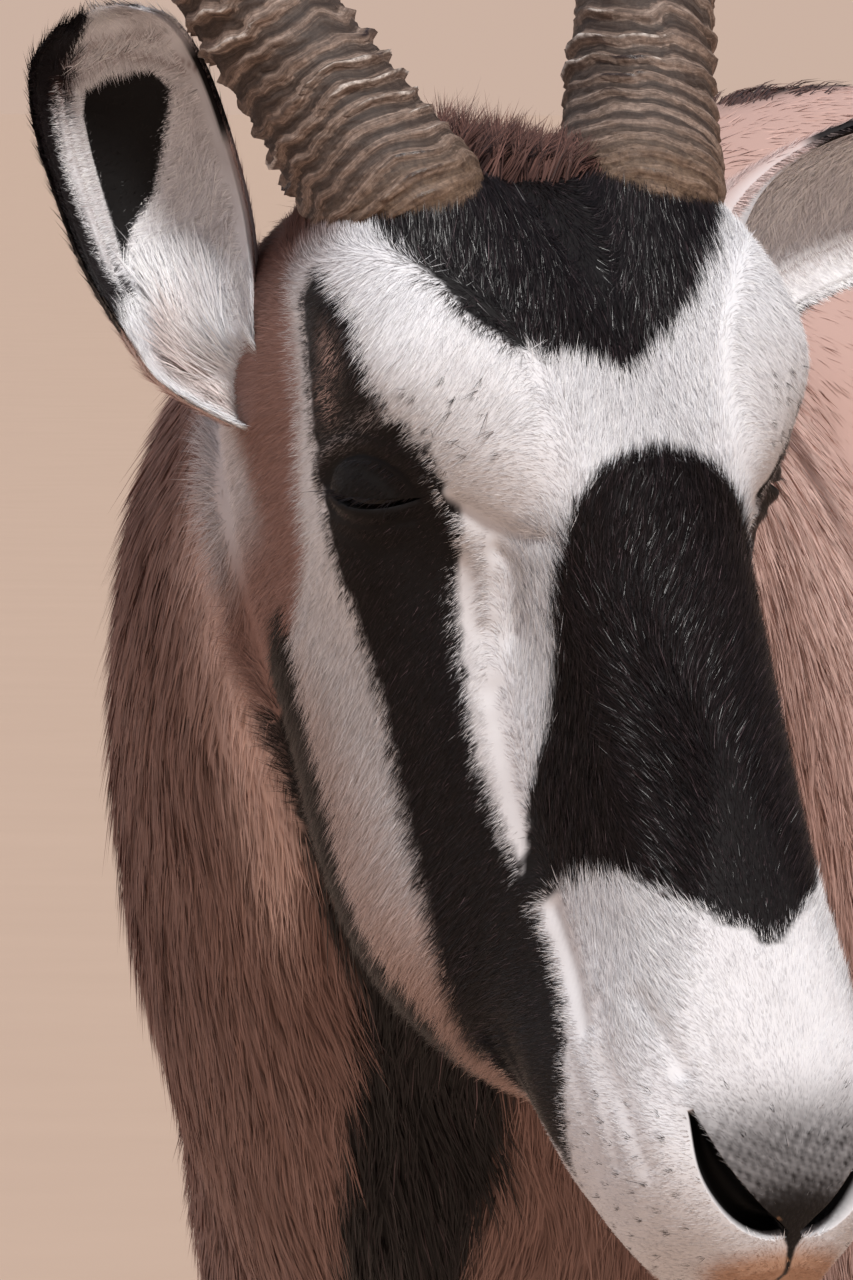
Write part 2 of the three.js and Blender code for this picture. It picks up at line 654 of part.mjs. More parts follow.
// The neck's block reaches from there back to the shoulders
const NECK_CUT = { y: -150, z: 900, lean: -15 };

function neckBlock(grow) {
  const frame = new THREE.Matrix4().makeRotationX(rad(NECK_CUT.lean));
  frame.setPosition(0, NECK_CUT.y, NECK_CUT.z);
  return block([-700, -900, -500], [900, grow, 900], frame).subtract(headBlock(-grow));
}

// Each leg's block is the space below a slope that rises outwards from the armpit or groin
const LEG_CUT = {
  fore: { x: 60, y: 0, z: 655, lean: 30, front: -240, back: 130 },
  hind: { x: 62, y: 850, z: 700, lean: 34, front: -190, back: 260 },
};

function legBlock(leg, grow) {
  const cut = leg.rows === FORELEG ? LEG_CUT.fore : LEG_CUT.hind;
  const frame = new THREE.Matrix4().makeRotationY(-leg.side * rad(cut.lean));
  frame.setPosition(leg.side * cut.x, cut.y, cut.z);
  const slope = block([-400, cut.front - grow, -900], [400, cut.back + grow, grow], frame);
  const [inner, outer] = leg.side > 0 ? [2 - grow, 420] : [-420, grow - 2];
  return slope.intersect(block([inner, -400, -10], [outer, 1200, 1100]));
}

const TAIL_CUT = 1010; // y where the tail leaves the rump

function tailBlock(grow) {
  return block([-100, TAIL_CUT - grow, 300], [100, 1300, 1300]);
}

// The node of each part as a solid, cut from the whole body so that neighbours meet face to face
function bodyNodes() {
  const sockets = Object.values(SIDES).map((side) => eyeball(side, EYE_RADIUS + GAP));
  const lids = Object.values(SIDES).map((side) => eyeball(side, EYE_RADIUS + LID));
  const openings = Object.values(SIDES).flatMap((side) => [lidGap(side), nostril(side)]);
  const head = union([headLoft(0), ...lids]);
  const hornRoom = union(Object.values(SIDES).map((side) => horn(side, GAP * 2)));
  const longHair = union([...mane(), ...pollTuft()]).subtract(hornRoom);
  const whole = union([trunk(), neck(), head, tailBone(), ...LEGS.map(legLoft), longHair]);
  const carved = [...sockets, ...openings, mouthLine()].reduce((a, b) => a.subtract(b), whole);
  const half = GAP / 2;
  const inside = (makeBlock) => carved.intersect(makeBlock(-half));
  const nodes = { head: inside(headBlock), neck: inside(neckBlock) };
  let rest = carved.subtract(headBlock(half)).subtract(neckBlock(half));
  LEGS.forEach((leg) => {
    nodes[leg.name + "_leg"] = union([rest.intersect(legBlock(leg, -half)), ...dewClaws(leg)]);
    rest = rest.subtract(legBlock(leg, half));
  });
  nodes.tail = union([rest.intersect(tailBlock(-half)), ...tailHair()]);
  nodes.torso = rest.subtract(tailBlock(half));
  return nodes;
}

const body = bodyNodes();
const rootedOn = union([headLoft(GAP * 1.5), neck(GAP * 1.5)]);
const SKIN = { head: "face", neck: "fawn", torso: "fawn", tail: "black" };

const gemsbok = new THREE.Group();
function addNode(name, manifold, material) {
  const mesh = new THREE.Mesh(geometryOf(largest(manifold)), MATERIALS[material]);
  mesh.name = name;
  gemsbok.add(mesh);
}

Object.entries(body).forEach(([name, part]) => addNode(name, part, SKIN[name] ?? "white"));
Object.entries(SIDES).forEach(([name, side]) => {
  addNode("eye_" + name, eyeball(side, EYE_RADIUS), "eye");
  addNode("horn_" + name, horn(side).subtract(rootedOn), "horn");
  addNode("ear_" + name, ear(name).subtract(rootedOn), "face");
});
LEGS.forEach((leg) => {
  const outer = leg.side;
  addNode("hoof_" + leg.name + "_outer", hoofToe(leg, outer), "hoof");
  addNode("hoof_" + leg.name + "_inner", hoofToe(leg, -outer), "hoof");
});

// The origin is on the floor, under the middle of the whole animal
const middle = new THREE.Box3().setFromObject(gemsbok).getCenter(vec(0, 0, 0));
gemsbok.position.set(-middle.x, -middle.y, 0);

export default gemsbok;
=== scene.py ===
import math

import bpy
import bmesh
import numpy as np
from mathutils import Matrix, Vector
from mathutils.bvhtree import BVHTree
from mathutils.kdtree import KDTree


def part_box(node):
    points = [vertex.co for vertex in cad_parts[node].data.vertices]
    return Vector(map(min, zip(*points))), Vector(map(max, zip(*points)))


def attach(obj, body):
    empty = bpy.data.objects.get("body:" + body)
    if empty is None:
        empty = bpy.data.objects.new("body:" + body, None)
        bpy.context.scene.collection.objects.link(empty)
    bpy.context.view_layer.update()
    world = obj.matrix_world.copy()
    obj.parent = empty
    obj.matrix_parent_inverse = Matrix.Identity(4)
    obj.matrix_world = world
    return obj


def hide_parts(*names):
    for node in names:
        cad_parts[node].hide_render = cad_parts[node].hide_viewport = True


# A standing gemsbok with its head lowered and turned to its left. Lengths are in design
# millimetres, which SHIFT carries to the frame, and become metres only as a mesh is made.
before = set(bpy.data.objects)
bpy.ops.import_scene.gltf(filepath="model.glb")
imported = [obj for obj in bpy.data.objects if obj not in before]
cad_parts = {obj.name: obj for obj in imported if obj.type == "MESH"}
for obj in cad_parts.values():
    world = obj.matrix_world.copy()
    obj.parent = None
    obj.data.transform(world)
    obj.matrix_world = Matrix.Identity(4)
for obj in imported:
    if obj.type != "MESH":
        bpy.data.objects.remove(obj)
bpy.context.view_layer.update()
rng = np.random.default_rng(11)

# Driving dimensions, the same as the solids have
WITHERS = 1210
EYE_HEIGHT = 1071
EYE_CENTRE = (245, -433)
HEAD_TURN = math.radians(70)
FACE_TILT = math.radians(24.5)
HEAD_ROLL = math.radians(1.5)
EYE_PLACE = (-6, -8, 64)
EYE_RADIUS = 18
HORN_LENGTH = 860
HORN_SPREAD = math.radians(21.5)
HOOF_HEIGHT = 60
SIDES = {"left": 1, "right": -1}


# Tables and small sums

def along_table(rows, at):
    """Smooth curves through the rows of a table, whose first column is the place along it."""
    rows = np.asarray(rows, float)
    at = np.atleast_1d(np.asarray(at, float))
    keys = rows[:, 0]
    rising = 1 if keys[-1] > keys[0] else -1
    last = len(rows) - 1
    i = np.searchsorted(rising * keys[1:-1], rising * at, side="left")
    a, b = rows[i], rows[i + 1]
    before, after = rows[np.maximum(i - 1, 0)], rows[np.minimum(i + 2, last)]
    span = (b[:, 0] - a[:, 0])[:, None]
    t = np.clip((at[:, None] - a[:, :1]) / span, 0, 1)
    slope_a = (b - before) / (b[:, :1] - before[:, :1]) * span
    slope_b = (after - a) / (after[:, :1] - a[:, :1]) * span
    held = (2 * t**3 - 3 * t**2 + 1) * a + (3 * t**2 - 2 * t**3) * b
    found = held + (t**3 - 2 * t**2 + t) * slope_a + (t**3 - t**2) * slope_b
    found[:, 0] = at
    return found


def along_path(path, at):
    """Places on a smooth curve through some places, at shares of the way along it."""
    return along_table(np.column_stack([np.linspace(0, 1, len(path)), path]), at)[:, 1:]


def lerp(a, b, t):
    """From a at 0 to b at 1."""
    return a + (b - a) * t


def step(low, high, x):
    """0 up to low, 1 from high, and a soft step between."""
    t = np.clip((x - low) / (high - low), 0, 1)
    return t * t * (3 - 2 * t)


def bump(x, middle, reach):
    """1 at the middle, and less and less beyond its reach."""
    return np.exp(-(((x - middle) / reach) ** 2))


def unit(v):
    return v / np.maximum(np.linalg.norm(v, axis=-1, keepdims=True), 1e-9)


def wobble(points, size, seed=0, waves=7):
    """Smooth noise of about -1 to 1, in lumps of about a size."""
    draw = np.random.default_rng(seed)
    ways = unit(draw.normal(size=(waves, 3))) * draw.uniform(0.6, 1.5, (waves, 1))
    phase = draw.uniform(0, 2 * math.pi, waves)
    return np.sin(points @ ways.T * (2 * math.pi / size) + phase).sum(1) / math.sqrt(waves)


# The head's own frame: f runs down the face to the nose, u out of the forehead, l to its left
forward = np.array([math.sin(HEAD_TURN), -math.cos(HEAD_TURN), 0])
level = np.cross([0, 0, 1], forward)
LEFT = level * math.cos(HEAD_ROLL) + np.cross(forward, level) * math.sin(HEAD_ROLL)
over = np.cross(forward, LEFT)
DOWN_FACE = forward * math.sin(FACE_TILT) - over * math.cos(FACE_TILT)
OUT_OF_FACE = forward * math.cos(FACE_TILT) + over * math.sin(FACE_TILT)
HEAD_AXES = np.array([DOWN_FACE, OUT_OF_FACE, LEFT])
HEAD_ORIGIN = np.array([*EYE_CENTRE, EYE_HEIGHT], float)


def in_head(local):
    """From the head's own frame to the design's."""
    return np.asarray(local, float) @ HEAD_AXES + HEAD_ORIGIN


def head_of(points):
    """From the design's frame to the head's own: f, u and l."""
    return (points - HEAD_ORIGIN) @ HEAD_AXES.T


# Trunk: y, top, bottom, half width, height of the widest line, squareness above and below it
TRUNK = [
    [-232, 940, 770, 50, 850, 2, 2],
    [-205, 1020, 705, 112, 850, 2, 2],
    [-130, 1128, 650, 166, 855, 1.9, 2],
    [-50, 1192, 622, 192, 850, 1.8, 2],
    [50, WITHERS, 606, 207, 845, 1.75, 2],
    [180, 1184, 598, 222, 845, 1.9, 2.1],
    [340, 1160, 592, 237, 845, 2.1, 2.1],
    [500, 1154, 598, 240, 850, 2.2, 2.1],
    [650, 1162, 622, 232, 865, 2.2, 2.1],
    [780, 1170, 664, 215, 885, 2.1, 2],
    [880, 1158, 710, 190, 905, 2, 2],
    [960, 1120, 770, 148, 925, 2, 2],
    [1000, 1064, 830, 95, 945, 2, 2],
    [1014, 1000, 890, 35, 945, 2, 2],
]

# Head: f, then u of the midline above, [u, half width] of the upper edge, the side, the cheek,
# the jaw and the lower edge, and u of the midline below
HEAD = [
    [-118, 12, 8, 40, -8, 60, -44, 64, -74, 56, -92, 34, -97],
    [-100, 31, 28, 49, 8, 73, -38, 77, -78, 67, -105, 41, -110],
    [-75, 43, 41, 60, 22, 86, -34, 85, -84, 73, -116, 45, -122],
    [-40, 52, 50, 59, 28, 86, -32, 85, -88, 74, -126, 45, -132],
    [-5, 54, 50, 47, 26, 73, -32, 83, -92, 72, -130, 45, -136],
    [30, 53, 46, 33, 16, 50, -32, 75, -92, 70, -131, 44, -137],
    [75, 50, 42, 30, 10, 45, -32, 64, -92, 68, -132, 46, -139],
    [120, 47, 39, 29, 8, 44, -32, 56, -86, 64, -123, 46, -130],
    [165, 44, 36, 30, 5, 46, -32, 52, -69, 53, -97, 40, -103],
    [205, 41, 32, 34, 3, 53, -30, 53, -49, 42, -62, 28, -65],
    [240, 35, 26, 35, 0, 52, -26, 49, -41, 36, -51, 24, -53],
    [266, 23, 15, 29, -4, 42, -22, 40, -35, 28, -45, 18, -47],
    [284, 6, 1, 15, -8, 22, -18, 21, -27, 16, -33, 10, -34],
]

# Soft swellings and hollows on both sides: f, u, half width of the place, reach along f and
# round the head, and how far the skin stands out
HEAD_FORMS = [
    (-30, 30, 78, 22, 16, 4),  # brow over the eye
    (-96, 20, 50, 20, 26, 4),  # bone under the horn
    (-62, -6, 80, 22, 20, -5),  # temple
    (14, -20, 76, 20, 15, 4),  # rim of bone under the eye
    (58, 12, 54, 26, 15, -4),  # hollow in front of the eye
    (8, -84, 66, 44, 26, 4),  # jaw muscle
    (242, 10, 36, 20, 15, 5),  # wing of the nostril
    (205, -34, 46, 40, 14, 4),  # upper lip
    (190, -62, 30, 40, 10, -3),  # under the lip
]

# Neck: how far along, x, y, z of its middle, half width, height above and below the middle
NECK = [
    [0, 0, 60, 900, 160, 300, 250],
    [0.2, 6, -80, 925, 165, 272, 240],
    [0.4, 34, -183, 965, 149, 225, 215],
    [0.6, 80, -269, 1010, 133, 178, 178],
    [0.8, 134, -349, 1052, 115, 138, 142],
    [1, 190, -409, 1085, 87, 106, 108],
    [1.15, 232, -438, 1096, 62, 84, 86],
]
NECK_END = 1.15

# Legs: height, x and y of the middle, half width, half depth. Left side; the right is mirrored
FORELEG = [
    [900, 140, -10, 42, 112],
    [800, 150, -20, 54, 104],
    [730, 148, -6, 52, 88],
    [670, 136, 8, 45, 70],
    [600, 124, 4, 38, 53],
    [520, 115, -4, 32, 41],
    [440, 109, -10, 30, 34],
    [400, 108, -15, 31, 35],
    [355, 107, -12, 27, 30],
    [300, 106, -8, 20, 25],
    [220, 105, -6, 18, 23],
    [160, 104, -4, 23, 29],
    [125, 104, -9, 23, 27],
    [90, 104, -22, 23, 25],
    [HOOF_HEIGHT, 104, -34, 28, 31],
]
HINDLEG = [
    [1000, 92, 800, 60, 110],
    [900, 122, 808, 87, 164],
    [800, 136, 806, 76, 165],
    [720, 138, 806, 62, 138],
    [640, 136, 838, 49, 100],
    [560, 130, 884, 39, 72],
    [500, 124, 917, 32, 54],
    [440, 120, 940, 28, 47],
    [400, 118, 942, 27, 40],
    [350, 116, 936, 23, 31],
    [280, 115, 928, 20, 26],
    [200, 114, 920, 18, 25],
    [155, 113, 914, 23, 29],
    [120, 113, 905, 23, 27],
    [90, 113, 892, 23, 25],
    [HOOF_HEIGHT, 113, 880, 28, 31],
]
ELBOW = 640  # below this the legs part from the trunk, and lean with the stance
LEGS = {
    "fore_left": (FORELEG, 1, -46),
    "fore_right": (FORELEG, -1, 34),
    "hind_left": (HINDLEG, 1, 58),
    "hind_right": (HINDLEG, -1, -30),
}
BETWEEN_LEGS = 400  # y that parts the forelegs from the hind legs
HOOF = {"cleft": 3, "front": -76}
TAIL = [  # height, y and radius of the bone's middle
    [1118, 955, 30],
    [1086, 1012, 27],
    [1010, 1058, 21],
    [920, 1078, 16],
    [830, 1084, 13],
    [740, 1082, 9],
]

# How deep the coat is over the skin
COAT = {"head": 2.5, "neck": 6.5, "trunk": 5, "leg": 3, "tail": 3}


def step_at(lean, z):
    """How far a foot's step has carried the leg along y at a height."""
    return lean * np.clip(1 - z / ELBOW, 0, 1)


# The frame's origin is under the middle of the whole animal; a hoof's corner gives the way there
_, toe_x, toe_y, *_ = along_table(FORELEG, HOOF_HEIGHT)[0]
toe_y += float(step_at(LEGS["fore_left"][2], HOOF_HEIGHT)) + HOOF["front"]
toe_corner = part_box("hoof_fore_left_outer")[0] * 1000
SHIFT = np.array([toe_corner.x - toe_x - HOOF["cleft"] / 2, toe_corner.y - toe_y, 0])


# Making meshes

def to_metres(points):
    """From the design's millimetres to the frame's metres."""
    return (np.asarray(points, float) + SHIFT) * 0.001


def new_mesh(name, points, faces):
    """A mesh whose faces all have the same number of corners."""
    mesh = bpy.data.meshes.new(name)
    faces = np.asarray(faces, np.int32)
    mesh.vertices.add(len(points))
    mesh.vertices.foreach_set("co", to_metres(points).astype(np.float32).ravel())
    mesh.loops.add(faces.size)
    mesh.loops.foreach_set("vertex_index", faces.ravel())
    mesh.polygons.add(len(faces))
    starts = np.arange(0, faces.size, faces.shape[1], dtype=np.int32)
    mesh.polygons.foreach_set("loop_start", starts)
    mesh.update(calc_edges=True)
    mesh.shade_smooth()
    return mesh


def linked(name, data):
    """A new object in the scene."""
    thing = bpy.data.objects.new(name, data)
    bpy.context.scene.collection.objects.link(thing)
    return thing


def new_object(name, mesh, material=None, replaces=()):
    """A visible piece of the model, or without a material one that only shapes others."""
    thing = linked(name, mesh)
    if material:
        mesh.materials.clear()
        mesh.materials.append(material)
        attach(thing, "root")
    if replaces:
        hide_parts(*replaces)
    return thing


def read(items, what, width, kind=np.float32):
    """Values of a mesh's vertices, edges or faces, a row for each."""
    found = np.zeros(len(items) * width, kind)
    items.foreach_get(what, found)
    return found.reshape(-1, width)


def points_of(mesh):
    """The vertices of a mesh in design millimetres."""
    return read(mesh.vertices, "co", 3).astype(float) * 1000 - SHIFT


def put_points(mesh, points):
    mesh.vertices.foreach_set("co", to_metres(points).astype(np.float32).ravel())
    mesh.update()


def normals_of(mesh):
    return read(mesh.vertex_normals, "vector", 3).astype(float)


def closed_loft(rings):
    """Points and triangles of a closed skin over rings, with a flat fan at either end."""
    count, n = rings.shape[:2]
    i = np.arange(n)
    j = (i + 1) % n
    r = np.arange(count - 1)[:, None] * n
    lower = np.stack([r + i, r + j, r + n + j], -1).reshape(-1, 3)
    upper = np.stack([r + i, r + n + j, r + n + i], -1).reshape(-1, 3)
    first = count * n
    end = (count - 1) * n
    caps = np.vstack([
        np.stack([j, i, np.full(n, first)], 1),
        np.stack([end + i, end + j, np.full(n, first + 1)], 1),
    ])
    points = np.vstack([rings.reshape(-1, 3), rings[:1].mean(1), rings[-1:].mean(1)])
    faces = np.vstack([lower, upper, caps])
    corners = points[faces]
    volume = np.einsum("ij,ij->i", corners[:, 0], np.cross(corners[:, 1], corners[:, 2])).sum()
    return points, faces if volume > 0 else faces[:, ::-1]


def joined(parts):
    """Several lists of points and faces as one."""
    points, faces, start = [], [], 0
    for some_points, some_faces in parts:
        points.append(some_points)
        faces.append(some_faces + start)
        start += len(some_points)
    return np.vstack(points), np.vstack(faces)


def ovals(sides, half, up, down, square_up=2, square_down=2):
    """Rounded sections, one a row, as sideways and upward distances."""
    a = np.linspace(0, 2 * math.pi, sides, endpoint=False)[None, :]
    c, s = np.cos(a), np.sin(a)
    half, up, down, square_up, square_down = (
        np.broadcast_to(np.atleast_1d(v), np.shape(np.atleast_1d(half)))[:, None]
        for v in (half, up, down, square_up, square_down)
    )
    power = 2 / np.where(s > 0, square_up, square_down)
    across = half * np.sign(c) * np.abs(c) ** power
    return across, np.where(s > 0, up, down) * np.sign(s) * np.abs(s) ** power


def swept(middle, across, up, x, y):
    """Rings round a path, from sideways and upward distances."""
    return middle[:, None] + x[..., None] * across[:, None] + y[..., None] * up[:, None]


# The lofts of the skin; depth is how deep under the coat's surface the skin lies

def trunk_loft(depth):
    y, top, bottom, half, wide, square_up, square_down = along_table(
        TRUNK, np.linspace(TRUNK[0][0] + depth, TRUNK[-1][0] - depth, 90)
    ).T
    x, z = ovals(72, half - depth, top - wide - depth, wide - bottom - depth, square_up, square_down)
    return closed_loft(np.stack([x, y[:, None] + 0 * x, z + wide[:, None]], -1))


def neck_frame(at):
    """Middle, sideways, upward and forward directions of the neck at places along it."""
    at = np.atleast_1d(at)
    middle = along_table(NECK, at)[:, 1:4]
    ahead = along_table(NECK, np.minimum(at + 0.02, NECK_END))[:, 1:4]
    behind = along_table(NECK, np.maximum(at - 0.02, 0))[:, 1:4]
    way = unit(ahead - behind)
    across = unit(np.cross([0, 0, 1], way))
    return middle, across, np.cross(way, across), way


def neck_loft(depth):
    at = np.linspace(0, NECK_END, 80)
    _, _, _, _, half, up, down = along_table(NECK, at).T
    middle, across, dorsal, _ = neck_frame(at)
    x, z = ovals(72, half - depth, up - depth, down - depth, 1.75)
    return closed_loft(swept(middle, across, dorsal, x, z))


def head_sections(f, per_span):
    """Outlines of the head at places down the face, as u and l, counted from the midline above."""
    row = along_table(HEAD, f)
    left = row[:, 2:12].reshape(-1, 5, 2)
    right = (left * [1, -1])[:, ::-1]
    top = np.stack([row[:, 1], 0 * row[:, 1]], 1)[:, None]
    bottom = np.stack([row[:, 12], 0 * row[:, 12]], 1)[:, None]
    p = np.concatenate([top, left, bottom, right], 1)
    p0, p1, p2, p3 = (np.roll(p, shift, 1)[:, :, None] for shift in (1, 0, -1, -2))
    reach = [np.sqrt(np.linalg.norm(b - a, axis=-1, keepdims=True))
             for a, b in ((p0, p1), (p1, p2), (p2, p3))]
    d0, d1, d2 = reach
    start = ((p1 - p0) / d0 - (p2 - p0) / (d0 + d1) + (p2 - p1) / d1) * d1
    stop = ((p2 - p1) / d1 - (p3 - p1) / (d1 + d2) + (p3 - p2) / d2) * d1
    t = (np.arange(per_span) / per_span)[None, None, :, None]
    curve = p1 + start * t + (-3 * p1 + 3 * p2 - 2 * start - stop) * t**2
    curve = curve + (2 * p1 - 2 * p2 + start + stop) * t**3
    middle = (row[:, 1] + row[:, 12]) / 2
    return curve.reshape(len(row), -1, 2), middle


def head_relief(f, u, l):
    """How far the head's surface is pushed out at a place."""
    out = 0
    for at_f, at_u, at_l, along, around, depth in HEAD_FORMS:
        d = ((f - at_f) / along) ** 2
        e = ((u - at_u) ** 2 + (np.abs(l) - at_l) ** 2) / around**2
        out = out + depth * np.exp(-d - e)
    return out


def head_loft(depth, rows=200, per_span=16):
    """The head, with its swellings and hollows."""
    t = np.linspace(0, 1, rows)
    f = lerp(HEAD[0][0], HEAD[-1][0], t)
    outline, middle = head_sections(f, per_span)
    u, l = outline[..., 0], outline[..., 1]
    out = unit(np.stack([u - middle[:, None], l], -1))
    out *= (head_relief(f[:, None], u, l) - depth)[..., None]
    past = -depth * (2 * t - 1)
    local = np.stack([(f + past)[:, None] + 0 * u, u + out[..., 0], l + out[..., 1]], -1)
    return closed_loft(in_head(local))


def leg_loft(rows, side, lean, depth):
    """A leg down to its hoof, carried forward or back by its step."""
    z = lerp(HOOF_HEIGHT - 4, rows[0][0], np.linspace(0, 1, 110) ** 1.15)
    _, x, y, half, deep = along_table(rows, np.maximum(z, HOOF_HEIGHT)).T
    a, b = ovals(40, half - depth, deep - depth, deep - depth, 2.1, 2.1)
    y = y + step_at(lean, z)
    return closed_loft(np.stack([side * (x[:, None] + a), y[:, None] + b, z[:, None] + 0 * a], -1))


def tail_path(t):
    """Middle, direction and radius of the tail's bone at shares of its length."""
    z, y, radius = along_path(TAIL, t).T
    further, nearer = along_path(TAIL, np.minimum(t + 0.01, 1)), along_path(TAIL, np.maximum(t - 0.01, 0))
    rise, run, _ = (further - nearer).T
    zero = 0 * z
    return np.stack([zero, y, z], 1), unit(np.stack([zero, run, rise], 1)), radius


def tail_loft(depth):
    middle, way, radius = tail_path(np.linspace(0, 1, 50))
    back = unit(np.cross([1, 0, 0], way))
    x, y = ovals(24, radius - depth, radius - depth, radius - depth)
    return closed_loft(swept(middle, np.array([[1.0, 0, 0]]), back, x, y))


# The skin: one closed surface over the whole body

VOXEL = 6.5


def applied(thing):
    """A new mesh, as an object's modifiers leave it."""
    return bpy.data.meshes.new_from_object(thing.evaluated_get(bpy.context.evaluated_depsgraph_get()))


def fused(parts, voxel):
    """One closed surface round several that overlap."""
    mesh = new_mesh("lofts", *joined(parts))
    thing = new_object("lofts", mesh)
    remesh = thing.modifiers.new("fuse", "REMESH")
    remesh.mode = "VOXEL"
    remesh.voxel_size = voxel * 0.001
    remesh.use_smooth_shade = True
    made = applied(thing)
    bpy.data.objects.remove(thing)
    bpy.data.meshes.remove(mesh)
    return made


def relax(points, edges, amount, rounds):
    """Evens a surface out without shrinking it much, by an amount for each of its points."""
    a, b = edges.T
    count = np.bincount(edges.ravel(), minlength=len(points))[:, None]
    for i in range(rounds * 2):
        near = np.stack([
            np.bincount(a, points[b, k], len(points)) + np.bincount(b, points[a, k], len(points))
            for k in range(3)
        ], 1)
        pull = 0.6 if i % 2 == 0 else -0.56
        points = points + pull * amount[:, None] * (near / count - points)
    return points


def edges_of(mesh):
    return read(mesh.edges, "vertices", 2, np.int32)


def refine(mesh, near):
    """Splits the faces for which near says so into four."""
    bm = bmesh.new()
    bm.from_mesh(mesh)
    centres = np.array([face.calc_center_median() for face in bm.faces]) * 1000 - SHIFT
    chosen = near(centres)
    bm.faces.ensure_lookup_table()
    edges = {edge for i in np.flatnonzero(chosen) for edge in bm.faces[i].edges}
    bmesh.ops.subdivide_edges(bm, edges=list(edges), cuts=1, use_grid_fill=True)
    bm.to_mesh(mesh)
    bm.free()


def tree_of(points, faces):
    return BVHTree.FromPolygons([tuple(p) for p in points], [tuple(f) for f in faces])


def eye_axes(side):
    """Centre of an eyeball, along the slit to its inner corner, up over the lid, and outwards."""
    out = unit(np.array([0.2, 0.3, side * 0.93]))
    along = np.array([0.45, 0.81, -0.36 * side])
    along = unit(along - out * (along @ out))
    lid_up = np.cross(out, along)
    if lid_up[0] > 0:
        lid_up = -lid_up
    return np.array([EYE_PLACE[0], EYE_PLACE[1], side * EYE_PLACE[2]]), along, lid_up, out


AXIS_DEPTH = 30  # how deep under the plane of the eyes the axis of the head's angles lies


def round_angle(u, l):
    """Degrees round the head from the middle of the face, more than 0 on the animal's right."""
    return np.degrees(np.arctan2(-l, u + AXIS_DEPTH))


def radius_per_degree(u, l):
    """Millimetres along the skin for each degree round the head."""
    return np.hypot(u + AXIS_DEPTH, l) * math.pi / 180


def region(points, low, high):
    """Which points lie in a box of the head's own frame."""
    local = head_of(points)
    return np.all((local > low) & (local < high), axis=1)


def around_eyes(points, reach):
    """Which points lie within reach of an eye's centre."""
    local = head_of(points)
    local[:, 2] = np.abs(local[:, 2])
    return np.linalg.norm(local - np.abs(EYE_PLACE) * [-1, -1, 1], axis=1) < reach


# The plane of the mouth: f of its corner, a place in it as f and u, and its slope
MOUTH = {"corner": 168, "middle": 234, "u": -41, "slope": 0.2027}


def over_mouth(f, u):
    """How far a place is above the plane of the mouth."""
    return (u - MOUTH["u"] - MOUTH["slope"] * (f - MOUTH["middle"])) * math.cos(0.2)


def nose_or_mouth(points):
    """Which points need finer faces for the nostrils and the lips."""
    f, u, _ = head_of(points).T
    nose = (f > 222) & (u > -8)
    mouth = (f > MOUTH["corner"] - 6) & (np.abs(over_mouth(f, u)) < 7)
    return nose | mouth


# Ridges and hollows of muscle and bone on the body's sides: half width, how far the skin stands
# out, and the line as y and height
BODY_FORMS = [
    (24, -9, [(70, 1120), (74, 1000), (96, 860), (112, 750)]),  # behind the shoulder blade
    (20, -8, [(-96, 1080), (-118, 960), (-160, 850), (-196, 790)]),  # before the shoulder
    (9, 3, [(10, 1150), (-28, 1030), (-72, 900)]),  # ridge of the shoulder blade
    (16, -4, [(34, 1120), (6, 1000), (-36, 900)]),
    (34, 4, [(-128, 830), (-128, 790)]),  # point of the shoulder
    (42, 4, [(10, 800), (40, 760)]),
    (18, -6, [(-70, 850), (-40, 790), (-26, 720)]),
    (16, 4, [(84, 706), (84, 690)]),  # elbow
    (16, -6, [(-2, 700), (-2, 560)]),
    (58, -14, [(610, 1060), (640, 1030)]),  # hollow of the flank
    (20, 5, [(694, 1118), (700, 1096)]),  # hip
    (26, -6, [(740, 1060), (790, 1040)]),
    (24, 5, [(838, 1060), (846, 1030)]),  # hip joint
    (22, -5, [(900, 1060), (884, 930), (862, 790), (850, 720)]),  # between the muscles of the thigh
    (24, -4, [(770, 960), (742, 860), (724, 800)]),
    (30, 5, [(722, 770), (742, 730)]),  # stifle
    (14, 3.5, [(600, 690), (660, 740), (700, 800)]),  # fold of the flank
    (10, -6, [(905, 620), (925, 560), (945, 490)]),  # before the great tendon of the hock
]
# Faint ribs: y of the first and last, the heights they lie between, and how far they lean back
RIBS = {"first": 150, "last": 560, "spacing": 37, "high": 1060, "low": 700, "lean": 0.22, "depth": 2.2}
SHANK_GROOVES = [  # fore or hind, height of the ends, place across the leg, half width, depth
    (True, (130, 350), 6, 5, 2.6),
    (False, (160, 380), 5, 5, 2.6),
]


def leg_of(points):
    """Whether points lie in the fore half, and how far each is behind the middle of its leg."""
    x, y, z = points.T
    fore = y < BETWEEN_LEGS
    lean = np.select(
        [fore & (x > 0), fore, x > 0],
        [LEGS["fore_left"][2], LEGS["fore_right"][2], LEGS["hind_left"][2]],
        LEGS["hind_right"][2],
    )
    middle = np.where(fore, along_table(FORELEG, z)[:, 2], along_table(HINDLEG, z)[:, 2])
    return fore, y - step_at(lean, z) - middle


